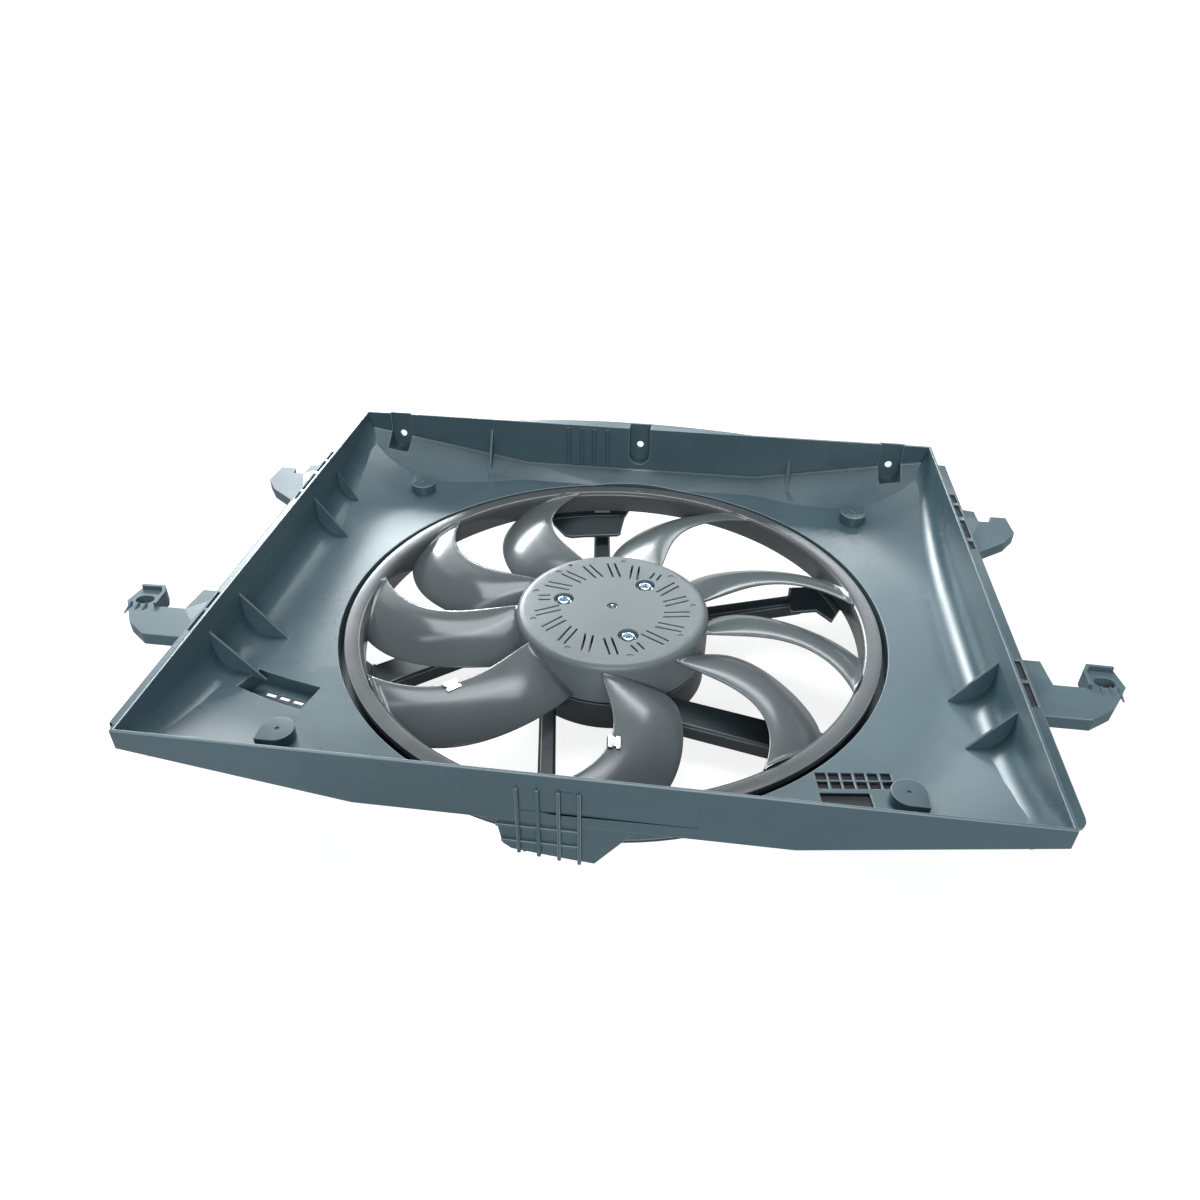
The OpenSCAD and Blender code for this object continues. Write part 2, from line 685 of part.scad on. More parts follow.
module fan_ring() {
    ro = ring_od / 2;
    ri = ring_ri;
    w = ring_wall;
    z = ring_z;
    color([0.48, 0.52, 0.54]) rotate_extrude($fn = 180) polygon([[ri, z - ring_h], [ri, z - 6], [ri + 1, z - 3.6],
        [ri + 3.5, z - 1.4], [ri + 7, z - 0.3], [ro - 1, z], [ro, z - 1], [ro, z - 6], [ro - 2, z - 6],
        [ro - 2, z - 2.3], [ri + 7.5, z - 2.6], [ri + 4.6, z - 3.6], [ri + w + 0.3, z - 5.6], [ri + w, z - 8],
        [ri + w, z - ring_h]]);
}

// Sheet clip bent over the leading edge of a blade
module clip(u) {
    p = blade_mid(u, 0);
    translate(p) rotate([0, 0, atan2(p[1], p[0])]) rotate([-14, 0, 0]) difference() {
        block(-6, 6, -1.6, 8, -2.6, 3.2);
        block(-6 - eps, 6 + eps, -0.9, 8 + eps, -1.9, 2.5);
    }
}

module balance_clips() {
    color([0.85, 0.86, 0.88]) {
        rotate([0, 0, blade_deg(3)]) clip(0.6);
        rotate([0, 0, blade_deg(4)]) clip(0.6);
    }
}

// Round-headed screw with a cross recess, standing on its seat at z = 0
module screw(head_r, head_h, shank_r, shank_l) {
    difference() {
        union() {
            rotate_extrude($fn = 32) polygon([[0, 0], [head_r, 0], [head_r, head_h * 0.35], [head_r * 0.8, head_h * 0.8],
                [head_r * 0.45, head_h], [0, head_h]]);
            translate([0, 0, -shank_l]) cylinder(r = shank_r, h = shank_l + 0.5, $fn = 32);
        }
        for (a = [0, 90]) rotate([0, 0, a])
            block(-head_r * 0.5, head_r * 0.5, -head_r * 0.11, head_r * 0.11, head_h * 0.45, head_h + 1);
    }
}

module hub_screws() {
    color([0.75, 0.80, 0.88]) for (i = [0 : 2]) rotate([0, 0, fan_screw_deg + i * 120])
        translate([hub_screw_pcd / 2, 0, hub_z - pocket_drop]) screw(5.6, 3.4, hub_screw_d / 2, pocket_floor + bell_t + 1);
}

module rotor_bell() {
    z = bell_z;
    r = bell_r;
    color([0.62, 0.63, 0.64]) difference() {
        union() {
            rotate_extrude() polygon([[shaft_r + seat, z - bell_t - boss_len], [shaft_r + seat, z], [r - 3, z],
                [r - 0.9, z - 0.9], [r, z - 3], [r, z - bell_h], [r - bell_t, z - bell_h], [r - bell_t, z - bell_t],
                [boss_r, z - bell_t], [boss_r, z - bell_t - boss_len]]);
        }
        for (i = [0 : 2]) rotate([0, 0, fan_screw_deg + i * 120]) translate([hub_screw_pcd / 2, 0, 0])
            disc(hub_screw_d / 2 + seat, z - bell_t - 1, z + 1);
        for (i = [0 : 5]) rotate([0, 0, fan_screw_deg + 30 + i * 60]) translate([hub_screw_pcd / 2 - 8, 0, 0])
            disc(5, z - bell_t - 1, z + 1);
    }
}

module rotor_magnets() {
    z1 = bell_z - bell_t - 2;
    z0 = bell_z - bell_h + 1;
    step = 360 / magnet_count;
    color([0.25, 0.25, 0.27]) difference() {
        tube(magnet_ro, magnet_ri, z0, z1);
        for (i = [0 : magnet_count - 1]) rotate([0, 0, i * step])
            block(magnet_ri - 3, magnet_ro + 3, -0.8, 0.8, z0 - 1, z1 + 1);
    }
}

module motor_shaft() {
    color([0.80, 0.81, 0.82]) difference() {
        rotate_extrude($fn = 48) polygon([[0, shaft_z0], [shaft_r - 0.5, shaft_z0], [shaft_r, shaft_z0 + 0.5],
            [shaft_r, groove_z - 0.6], [shaft_r - 0.6, groove_z - 0.6], [shaft_r - 0.6, groove_z + 0.6],
            [shaft_r, groove_z + 0.6], [shaft_r, shaft_top - 0.7], [shaft_r - 0.7, shaft_top], [0, shaft_top]]);
        disc(1.6, shaft_top - 3, shaft_top + 1);
    }
}

module retaining_ring() {
    color([0.55, 0.56, 0.58]) difference() {
        tube(shaft_r + 2.2, shaft_r - 0.6 + seat, groove_z - 0.5, groove_z + 0.5);
        block(0, 10, -1.2, 1.2, groove_z - 1, groove_z + 1);
    }
}

module race_pair(ro, ri) {
    tube(ro, ri, front_bearing_z1 - bearing_w, front_bearing_z1);
    tube(ro, ri, rear_bearing_z0, rear_bearing_z0 + bearing_w);
}

module bearing_inner_races() {
    color([0.78, 0.79, 0.80]) race_pair(shaft_r + 3.2, shaft_r + seat);
}

module bearing_outer_races() {
    color([0.70, 0.71, 0.72]) race_pair(bore_r - seat, shaft_r + 3.5);
}

module bearing_spacer() {
    color([0.60, 0.55, 0.40]) tube(bore_r - seat, bore_r - 1.5, rear_bearing_z0 + bearing_w, front_bearing_z1 - bearing_w);
}

module motor_base() {
    color([0.72, 0.73, 0.74]) difference() {
        union() {
            disc(base_r, base_z0, base_z1);
            disc(tube_ro, tube_z0, front_bearing_z1 + 0.2);
            disc(tube_ro + 5, base_z1 - 0.5, core_z0 - frame_t);
            tube(cover_r, cover_r - 6, base_z0 - 2, base_z0 + 0.5);
            for (a = board_post_deg) rotate([0, 0, a]) translate([board_post_r, 0, 0]) disc(4, board_z1, base_z0 + 0.5);
        }
        disc(bore_r, rear_bearing_z0, front_bearing_z1 + 1);
        disc(bore_r - 2, tube_z0 - 1, front_bearing_z1 + 1);
        for (a = base_screw_deg) rotate([0, 0, a]) translate([base_screw_r, 0, 0])
            disc(base_screw_d / 2 + 0.4, base_z0 - 3, base_z1 + 1);
        for (a = cover_screw_deg) rotate([0, 0, a]) translate([cover_screw_r, 0, 0])
            disc(cover_screw_d / 2, base_z0 - 3, base_z0 + 2);
        for (i = [0 : 5]) rotate([0, 0, i * 60]) translate([board_post_r - 10, 0, 0]) disc(2.2, base_z0 - 1, base_z1 + 1);
    }
}

module base_screws() {
    color([0.75, 0.80, 0.88]) for (a = base_screw_deg) rotate([0, 0, a])
        translate([base_screw_r, 0, base_z1]) screw(2.7, 2, base_screw_d / 2 - seat, base_t + seat_t);
}

module stator_core() {
    step = 360 / tooth_count;
    color([0.50, 0.50, 0.52]) difference() {
        union() {
            tube(tube_ro + 9, tube_ro + seat, core_z0, core_z1);
            intersection() {
                tube(stator_r, tube_ro + 8, core_z0, core_z1);
                for (i = [0 : tooth_count - 1]) rotate([0, 0, i * step]) {
                    block(0, stator_r + 1, -tooth_w / 2, tooth_w / 2, core_z0, core_z1);
                    block(stator_r - 4, stator_r + 1, -shoe_w / 2, shoe_w / 2, core_z0, core_z1);
                }
            }
        }
    }
}

// Insulating end frames, one on each face of the core
module winding_frame() {
    step = 360 / tooth_count;
    color([0.88, 0.86, 0.78]) for (z = [core_z0 - frame_t, core_z1]) {
        tube(tube_ro + 9, tube_ro + 1, z, z + frame_t);
        intersection() {
            tube(stator_r - 0.5, tube_ro + 8, z, z + frame_t);
            for (i = [0 : tooth_count - 1]) rotate([0, 0, i * step])
                block(0, stator_r, -tooth_w / 2, tooth_w / 2, z, z + frame_t);
        }
    }
}

// Rounded coil round each tooth
module stator_windings() {
    step = 360 / tooth_count;
    z0 = core_z0 - frame_t;
    z1 = core_z1 + frame_t;
    color([0.72, 0.38, 0.16]) for (i = [0 : tooth_count - 1]) rotate([0, 0, i * step]) difference() {
        union() {
            block(coil_r0, coil_r1, -tooth_w / 2 - coil_t, tooth_w / 2 + coil_t, z0, z1);
            block(coil_r0, coil_r1, -tooth_w / 2, tooth_w / 2, z0 - coil_over, z1 + coil_over);
            for (s = [-1, 1], z = [z0, z1]) translate([coil_r0, s * tooth_w / 2, z]) rotate([0, 90, 0])
                cylinder(r = min(coil_t, coil_over), h = coil_r1 - coil_r0, $fn = 32);
        }
        block(coil_r0 - 1, coil_r1 + 1, -tooth_w / 2 - seat, tooth_w / 2 + seat, z0, z1);
        rotate([0, 0, step / 2]) block(0, stator_r, -0.3, 30, z0 - 9, z1 + 9);
        rotate([0, 0, -step / 2]) block(0, stator_r, -30, 0.3, z0 - 9, z1 + 9);
    }
}

module circuit_board() {
    color([0.10, 0.35, 0.20]) difference() {
        tube(cover_screw_r - post_r - 0.5, tube_ro + 3, board_z1 - board_t, board_z1);
        for (a = board_post_deg) rotate([0, 0, a]) translate([board_post_r, 0, 0]) disc(1.6, 0, board_z1 + 1);
    }
}

module capacitors() {
    color([0.16, 0.18, 0.30]) for (a = [60, 105, 300]) rotate([0, 0, a]) translate([board_post_r - 12, 0, 0])
        disc(6, board_z1 - board_t - 12, board_z1 - board_t);
}

module power_transistors() {
    color([0.10, 0.10, 0.11]) for (i = [0 : 5]) rotate([0, 0, 140 + i * 24]) translate([board_post_r - 16, 0, 0])
        block(-5, 5, -4, 4, board_z1 - board_t - 2.6, board_z1 - board_t);
}

module cover_gasket() {
    color([0.12, 0.12, 0.12]) tube(cover_r - 0.5, cover_r - 2, base_z0 - 2 - gasket_t, base_z0 - 2);
}

module rear_cover() {
    z1 = base_z0 - 2 - gasket_t;
    color([0.66, 0.67, 0.68]) difference() {
        disc(cover_r, 0, z1);
        disc(cover_r - cover_wall, cover_floor, z1 + 1);
        // Grooves between the cooling fins
        for (i = [-8 : 7]) block(-cover_r, cover_r, (i + 0.5) * fin_pitch - fin_gap / 2, (i + 0.5) * fin_pitch + fin_gap / 2, -1, fin_h);
        for (a = cover_screw_deg) rotate([0, 0, a]) translate([cover_screw_r, 0, 0])
            disc(cover_screw_d / 2 + 0.4, -1, z1 + 1);
        for (a = cover_screw_deg) rotate([0, 0, a]) translate([cover_screw_r, 0, 0]) disc(3.2, -1, fin_h);
        rotate([0, 0, connector_deg]) block(cover_r - 8, cover_r + 2, -socket_w / 2, socket_w / 2, socket_z0, socket_z1);
    }
    color([0.66, 0.67, 0.68]) for (a = cover_screw_deg) rotate([0, 0, a]) translate([cover_screw_r, 0, 0])
        tube(post_r, cover_screw_d / 2 + 0.4, cover_floor - eps, z1);
}

module cover_screws() {
    color([0.75, 0.80, 0.88]) for (a = cover_screw_deg) rotate([0, 0, a]) translate([cover_screw_r, 0, fin_h])
        rotate([180, 0, 0]) screw(2.6, 2, cover_screw_d / 2 - seat, base_z0 - fin_h);
}

module connector_socket() {
    x0 = cover_r - 8;
    x1 = collar_r + 8;
    h = socket_z1 - socket_z0;
    color([0.12, 0.13, 0.14]) rotate([0, 0, connector_deg]) translate([0, 0, socket_z0]) difference() {
        block(x0, x1, -socket_w / 2, socket_w / 2, 0, h);
        block(x0 + 12, x1 + 1, -socket_w / 2 + 2, socket_w / 2 - 2, 2, h - 2);
        for (y = pin_y)
            block(x0 - 1, x1, y - pin_w / 2 - seat, y + pin_w / 2 + seat, (h - pin_t) / 2 - seat, (h + pin_t) / 2 + seat);
    }
}

module connector_pins() {
    color([0.85, 0.75, 0.45]) rotate([0, 0, connector_deg]) for (y = pin_y)
        block(cover_r - 12, cover_r + 10, y - pin_w / 2, y + pin_w / 2, pin_z - pin_t / 2, pin_z + pin_t / 2);
}

shroud();
carrier_rim();
motor_carrier();
fan_hub();
fan_blade(0);  // fan_blade_1
fan_blade(1);  // fan_blade_2
fan_blade(2);  // fan_blade_3
fan_blade(3);  // fan_blade_4
fan_blade(4);  // fan_blade_5
fan_blade(5);  // fan_blade_6
fan_blade(6);  // fan_blade_7
fan_blade(7);  // fan_blade_8
fan_blade(8);  // fan_blade_9
fan_ring();
balance_clips();
hub_screws();
rotor_bell();
rotor_magnets();
motor_shaft();
retaining_ring();
bearing_inner_races();
bearing_outer_races();
bearing_spacer();
motor_base();
base_screws();
stator_core();
winding_frame();
stator_windings();
circuit_board();
capacitors();
power_transistors();
cover_gasket();
rear_cover();
cover_screws();
connector_socket();
connector_pins();
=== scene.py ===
"""Looks of the radiator cooling fan: moulded tray, carrier, ring fan, screws, clips and motor finishes."""

import math

import bmesh
import bpy
from bpy.props import FloatProperty, FloatVectorProperty, IntProperty, PointerProperty
from bpy.types import Operator, Panel, PropertyGroup
from mathutils import Matrix, Vector
from mathutils.bvhtree import BVHTree


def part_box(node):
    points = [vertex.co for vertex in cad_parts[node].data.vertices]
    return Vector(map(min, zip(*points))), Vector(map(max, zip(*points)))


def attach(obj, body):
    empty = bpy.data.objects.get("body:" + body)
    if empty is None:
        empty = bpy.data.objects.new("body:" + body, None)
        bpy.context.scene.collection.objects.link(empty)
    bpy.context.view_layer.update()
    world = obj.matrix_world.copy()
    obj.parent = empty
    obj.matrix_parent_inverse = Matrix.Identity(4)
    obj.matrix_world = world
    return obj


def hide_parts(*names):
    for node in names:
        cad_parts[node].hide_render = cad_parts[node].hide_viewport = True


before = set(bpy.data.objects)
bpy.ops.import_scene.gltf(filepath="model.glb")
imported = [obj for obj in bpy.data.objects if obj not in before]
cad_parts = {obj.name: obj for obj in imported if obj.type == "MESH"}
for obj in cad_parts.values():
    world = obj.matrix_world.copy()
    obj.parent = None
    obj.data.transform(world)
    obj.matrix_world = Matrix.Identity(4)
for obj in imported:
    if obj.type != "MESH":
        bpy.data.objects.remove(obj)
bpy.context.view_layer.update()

bl_info = {
    "name": "Radiator Cooling Fan",
    "version": (1, 0, 0),
    "blender": (4, 5, 0),
    "location": "View3D > Sidebar > Cooling Fan",
    "description": "Builds the moulded fan, its ring, blades, fixings and finishes on the CAD frame",
    "category": "Object",
}

MM = 0.001
RIM_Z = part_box("shroud")[1].z
HUB_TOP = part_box("fan_hub")[1].z
RING_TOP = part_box("fan_ring")[1].z
RING_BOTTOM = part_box("fan_ring")[0].z
RING_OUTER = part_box("fan_ring")[1].x

# The tray in the CAD model: where its ledges start, its inner walls, its floor and its wall
LEDGE_FROM = 232 * MM
WALL_X = 286.6 * MM
WALL_Y = 242.6 * MM
FLOOR_Z = 62 * MM
PLASTIC_WALL = 2.4 * MM

# The ears' matt finish starts outside the side flanges, and their ends stay sharp
EAR_FROM = 298.5 * MM
EAR_REACH = 336 * MM

# The photograph's camera, in the frame of the part
CAMERA_PLACE = (0.06053, -0.61792, 0.51580)
CAMERA_TURN = (54.5933, -0.4566, 7.5105)
CAMERA_FOCAL_PX = 913.2
PHOTO_PX = 1200
CAMERA_CENTRE_PX = (591.9, 599.7)

# The studio: the level of the world's light, the floor's tones, and the lamps with their place, aim,
# width, height, power in watts and colour
WORLD_FILL = 0.24
FLOOR_GREY = 0.35
FLOOR_MIRRORED = 0.30
FLOOR_NEAR_LIGHT = 0.84
FLOOR_FADE = (0.9, 2.4)
OBJECT_MIDDLE = (0.0, 0.0, 0.05)
COOL_WHITE = (0.92, 0.98, 1.0)
LAMPS = (
    ("overhead", (-0.1, 0.85, 2.2), OBJECT_MIDDLE, 1.8, 0.8, 30.0, (0.94, 0.98, 1.0)),
    ("tube", (-0.3, 0.45, 2.0), OBJECT_MIDDLE, 2.0, 0.12, 4.0, (0.94, 0.98, 1.0)),
    ("window", (-1.3, 2.3, 1.14), (0.2, 0.0, 0.08), 1.5, 0.45, 78.0, COOL_WHITE),
    ("back_panel", (0.4, 2.4, 1.5), OBJECT_MIDDLE, 1.3, 0.34, 14.0, COOL_WHITE),
    ("side_panel", (-1.6, 1.9, 1.8), OBJECT_MIDDLE, 1.2, 1.0, 5.0, COOL_WHITE),
    ("front_fill", (0.2, -1.7, 1.0), OBJECT_MIDDLE, 1.2, 0.6, 22.0, COOL_WHITE))


class FanSizes(PropertyGroup):
    """Sizes of the pieces that are modelled here."""

    hub_radius: FloatProperty(
        name="Hub Radius", description="Outer radius of the hub's skirt, where the blades start",
        default=0.0805, min=0.07, max=0.09, unit="LENGTH")
    ring_wall: FloatProperty(
        name="Ring Wall", description="Wall of the ring's cylinder",
        default=0.0025, min=0.001, max=0.004, unit="LENGTH")
    ring_lip: FloatProperty(
        name="Ring Lip", description="Radial width of the ring's lip outside its cylinder",
        default=0.012, min=0.006, max=0.018, unit="LENGTH")
    blade_root: FloatProperty(
        name="Blade Root", description="Thickness of a blade at the hub",
        default=0.0034, min=0.002, max=0.006, unit="LENGTH")
    blade_tip: FloatProperty(
        name="Blade Tip", description="Thickness of a blade at the ring",
        default=0.0024, min=0.0015, max=0.004, unit="LENGTH")
    blade_camber: FloatProperty(
        name="Blade Camber", description="Rise of the blade section above its chord",
        default=0.004, min=0.0, max=0.008, unit="LENGTH")
    fillet: FloatProperty(
        name="Blade Fillet", description="Radius of the fillet where a blade meets the hub and the ring",
        default=0.0032, min=0.001, max=0.006, unit="LENGTH")
    edge_round: FloatProperty(
        name="Edge Rounding", description="Width of the rounding along moulded edges",
        default=0.0006, min=0.0001, max=0.002, unit="LENGTH")
    ring_steps: IntProperty(
        name="Ring Steps", description="Facets round the ring", default=240, min=48, max=360)


class FanFinish(PropertyGroup):
    """Colours and gloss of the finishes."""

    shroud_colour: FloatVectorProperty(
        name="Shroud", description="Colour of the tray's plastic",
        subtype="COLOR", size=3, min=0, max=1, default=(0.060, 0.106, 0.130))
    carrier_colour: FloatVectorProperty(
        name="Carrier", description="Colour of the motor carrier's plastic",
        subtype="COLOR", size=3, min=0, max=1, default=(0.020, 0.031, 0.037))
    blade_colour: FloatVectorProperty(
        name="Blades", description="Colour of the fan's blades",
        subtype="COLOR", size=3, min=0, max=1, default=(0.098, 0.114, 0.120))
    ring_colour: FloatVectorProperty(
        name="Ring", description="Colour of the fan's ring",
        subtype="COLOR", size=3, min=0, max=1, default=(0.078, 0.085, 0.089))
    hub_colour: FloatVectorProperty(
        name="Hub", description="Colour of the fan's hub",
        subtype="COLOR", size=3, min=0, max=1, default=(0.155, 0.180, 0.190))
    zinc_colour: FloatVectorProperty(
        name="Zinc", description="Colour of the blue zinc on the screws",
        subtype="COLOR", size=3, min=0, max=1, default=(0.55, 0.68, 0.82))
    steel_colour: FloatVectorProperty(
        name="Steel", description="Colour of bright steel",
        subtype="COLOR", size=3, min=0, max=1, default=(0.72, 0.74, 0.76))
    shroud_roughness: FloatProperty(
        name="Shroud Roughness", description="Roughness of the tray's satin surface",
        subtype="FACTOR", min=0, max=1, default=0.28)
    blade_roughness: FloatProperty(
        name="Blade Roughness", description="Roughness of the blades' polished surface",
        subtype="FACTOR", min=0, max=1, default=0.17)


def sizes():
    return bpy.context.scene.cooling_fan_sizes


def finish():
    return bpy.context.scene.cooling_fan_finish


# Shader node groups


def add_node(tree, kind, place, **values):
    node = tree.nodes.new(kind)
    node.location = place
    for key, value in values.items():
        setattr(node, key, value)
    return node


def new_group(name, inputs, outputs):
    """A shader node group with its sockets and its two end nodes."""
    group = bpy.data.node_groups.new(name, "ShaderNodeTree")
    for socket, kind, value in inputs:
        made = group.interface.new_socket(name=socket, in_out="INPUT", socket_type=kind)
        made.default_value = value
    for socket, kind in outputs:
        group.interface.new_socket(name=socket, in_out="OUTPUT", socket_type=kind)
    start = add_node(group, "NodeGroupInput", (-900, 0))
    end = add_node(group, "NodeGroupOutput", (900, 0))
    return group, start, end


def noise(tree, place, vector, scale, detail=2.0, rough=0.5):
    node = add_node(tree, "ShaderNodeTexNoise", place)
    node.inputs["Detail"].default_value = detail
    node.inputs["Roughness"].default_value = rough
    tree.links.new(vector, node.inputs["Vector"])
    if isinstance(scale, (int, float)):
        node.inputs["Scale"].default_value = scale
    else:
        tree.links.new(scale, node.inputs["Scale"])
    return node.outputs["Fac"]


def ramp(tree, place, value, low, high, to_low=0.0, to_high=1.0):
    """Maps a value from low..high to to_low..to_high, clamped."""
    node = add_node(tree, "ShaderNodeMapRange", place)
    node.inputs["From Min"].default_value = low
    node.inputs["From Max"].default_value = high
    node.inputs["To Min"].default_value = to_low
    node.inputs["To Max"].default_value = to_high
    tree.links.new(value, node.inputs["Value"])
    return node.outputs["Result"]


def calc(tree, place, operation, first, second):
    node = add_node(tree, "ShaderNodeMath", place, operation=operation)
    for socket, value in zip(node.inputs, (first, second)):
        if isinstance(value, (int, float)):
            socket.default_value = value
        else:
            tree.links.new(value, socket)
    return node.outputs[0]


def mix_colour(tree, place, factor, first, second):
    node = add_node(tree, "ShaderNodeMix", place, data_type="RGBA")
    for name, value in (("Factor", factor), ("A", first), ("B", second)):
        socket = [s for s in node.inputs if s.name == name and (s.type == "RGBA") == (name != "Factor")][0]
        if isinstance(value, (int, float, tuple)):
            socket.default_value = value
        else:
            tree.links.new(value, socket)
    return [s for s in node.outputs if s.type == "RGBA"][0]


def moulded_group():
    """Moulded plastic: mottle, flow lines, painted highlights on rounded edges, faint dust and a fine grain.
    """
    group, start, end = new_group(
        "moulded_surface",
        [("Colour", "NodeSocketColor", (0.1, 0.1, 0.1, 1.0)),
         ("Roughness", "NodeSocketFloat", 0.4),
         ("Grain Scale", "NodeSocketFloat", 1500.0),
         ("Grain Depth", "NodeSocketFloat", 0.2),
         ("Flow", "NodeSocketFloat", 0.3),
         ("Edge Light", "NodeSocketFloat", 0.35),
         ("Dust", "NodeSocketFloat", 0.1)],
        [("Colour", "NodeSocketColor"), ("Roughness", "NodeSocketFloat"), ("Normal", "NodeSocketVector")])
    place = add_node(group, "ShaderNodeTexCoord", (-900, -300)).outputs["Object"]
    cloud = noise(group, (-600, 300), place, 7.0, 4.0, 0.6)
    stretch = add_node(group, "ShaderNodeMapping", (-700, -300))
    stretch.inputs["Scale"].default_value = (2.0, 60.0, 14.0)
    group.links.new(place, stretch.inputs["Vector"])
    streak = noise(group, (-500, -200), stretch.outputs["Vector"], 3.0, 3.0, 0.65)
    grain = noise(group, (-600, -500), place, start.outputs["Grain Scale"], 1.0)
    # Painted highlight: faces marked rounded are mixed towards a pale grey-blue, standing in for thin
    # highlight lines along moulded edges.
    edge = add_node(group, "ShaderNodeAttribute", (-600, 600), attribute_name="rounded")
    edge_highlight_mask = calc(group, (-100, 600), "MULTIPLY", edge.outputs["Fac"], start.outputs["Edge Light"])
    facing = add_node(group, "ShaderNodeNewGeometry", (-600, 900))
    split = add_node(group, "ShaderNodeSeparateXYZ", (-400, 900))
    group.links.new(facing.outputs["Normal"], split.inputs[0])
    level = ramp(group, (-200, 900), split.outputs["Z"], 0.5, 1.0)
    patches = ramp(group, (-200, 750), cloud, 0.35, 0.75)
    settled = calc(group, (0, 850), "MULTIPLY", level, patches)
    dusty = calc(group, (150, 850), "MULTIPLY", settled, start.outputs["Dust"])
    shade = ramp(group, (-200, 300), cloud, 0.3, 0.7, 0.86, 1.12)
    lines = ramp(group, (-200, 0), streak, 0.35, 0.7, 0.0, 1.0)
    lines = calc(group, (0, 0), "MULTIPLY", lines, start.outputs["Flow"])
    mottled = add_node(group, "ShaderNodeVectorMath", (0, 300), operation="SCALE")
    group.links.new(start.outputs["Colour"], mottled.inputs[0])
    group.links.new(shade, mottled.inputs["Scale"])
    flowed = mix_colour(group, (200, 300), lines, mottled.outputs[0], (0.16, 0.19, 0.20, 1.0))
    edged = mix_colour(group, (400, 400), edge_highlight_mask, flowed, (0.42, 0.48, 0.50, 1.0))
    dusted = mix_colour(group, (600, 400), dusty, edged, (0.30, 0.32, 0.32, 1.0))
    group.links.new(dusted, end.inputs["Colour"])
    vary = ramp(group, (200, 0), cloud, 0.3, 0.7, -0.05, 0.06)
    rough = calc(group, (400, 0), "ADD", start.outputs["Roughness"], vary)
    rough = calc(group, (550, 0), "ADD", rough, calc(group, (400, -150), "MULTIPLY", dusty, 0.5))
    group.links.new(rough, end.inputs["Roughness"])
    bump = add_node(group, "ShaderNodeBump", (500, -400))
    bump.inputs["Distance"].default_value = 0.00012
    group.links.new(start.outputs["Grain Depth"], bump.inputs["Strength"])
    group.links.new(grain, bump.inputs["Height"])
    group.links.new(bump.outputs["Normal"], end.inputs["Normal"])
    return group


def metal_group():
    """Worked metal: a brushed or cast grain with a little tarnish."""
    group, start, end = new_group(
        "worked_metal",
        [("Colour", "NodeSocketColor", (0.6, 0.6, 0.6, 1.0)),
         ("Tarnish", "NodeSocketColor", (0.3, 0.3, 0.3, 1.0)),
         ("Roughness", "NodeSocketFloat", 0.3),
         ("Grain Scale", "NodeSocketFloat", 900.0),
         ("Grain Depth", "NodeSocketFloat", 0.2)],
        [("Colour", "NodeSocketColor"), ("Roughness", "NodeSocketFloat"), ("Normal", "NodeSocketVector")])
    place = add_node(group, "ShaderNodeTexCoord", (-900, -300)).outputs["Object"]
    cloud = noise(group, (-600, 300), place, 60.0, 4.0, 0.6)
    grain = noise(group, (-600, -300), place, start.outputs["Grain Scale"], 3.0)
    spots = ramp(group, (-300, 300), cloud, 0.45, 0.75, 0.0, 0.55)
    colour = mix_colour(group, (0, 300), spots, start.outputs["Colour"], start.outputs["Tarnish"])
    group.links.new(colour, end.inputs["Colour"])
    vary = ramp(group, (-300, 0), grain, 0.3, 0.7, -0.06, 0.10)
    group.links.new(calc(group, (0, 0), "ADD", start.outputs["Roughness"], vary), end.inputs["Roughness"])
    bump = add_node(group, "ShaderNodeBump", (0, -300))
    bump.inputs["Distance"].default_value = 0.0001
    group.links.new(start.outputs["Grain Depth"], bump.inputs["Strength"])
    group.links.new(grain, bump.inputs["Height"])
    group.links.new(bump.outputs["Normal"], end.inputs["Normal"])
    return group


def shared_group(name):
    makers = {"moulded_surface": moulded_group, "worked_metal": metal_group}
    return bpy.data.node_groups.get(name) or makers[name]()


def new_material(name, group_name, colour, roughness, values, metallic=0.0):
    """A Principled material fed by one of the shared groups."""
    material = bpy.data.materials.new(name)
    material.use_nodes = True
    tree = material.node_tree
    shader = tree.nodes["Principled BSDF"]
    shader.inputs["Metallic"].default_value = metallic
    surface = add_node(tree, "ShaderNodeGroup", (-300, 200), node_tree=shared_group(group_name))
    surface.inputs["Colour"].default_value = (*colour, 1.0)
    surface.inputs["Roughness"].default_value = roughness
    for key, value in values.items():
        surface.inputs[key].default_value = value
    tree.links.new(surface.outputs["Colour"], shader.inputs["Base Color"])
    tree.links.new(surface.outputs["Roughness"], shader.inputs["Roughness"])
    tree.links.new(surface.outputs["Normal"], shader.inputs["Normal"])
    material.diffuse_color = (*colour, 1.0)
    return material


def plastic(name, colour, roughness, **values):
    """A moulded plastic, with values for the sockets of its group."""
    # Edge Highlight sets the strength of the painted highlight on faces marked rounded.
    sockets = {"Grain Scale": 1500.0, "Grain Depth": 0.2, "Flow": 0.1, "Edge Light": 0.35, "Dust": 0.06}
    sockets.update({key.replace("_", " ").title(): value for key, value in values.items()})
    return new_material(name, "moulded_surface", colour, roughness, sockets)


def metal(name, colour, roughness, **values):
    """A worked metal, with values for the sockets of its group."""
    sockets = {"Tarnish": (*[c * 0.6 for c in colour], 1.0), "Grain Scale": 900.0, "Grain Depth": 0.15}
    sockets.update({key.replace("_", " ").title(): value for key, value in values.items()})
    return new_material(name, "worked_metal", colour, roughness, sockets, metallic=1.0)


# Mesh helpers


def rounded_layer(bm):
    """The layer that marks rounded faces; it's made before any face is held."""
    return bm.faces.layers.int.get("rounded") or bm.faces.layers.int.new("rounded")


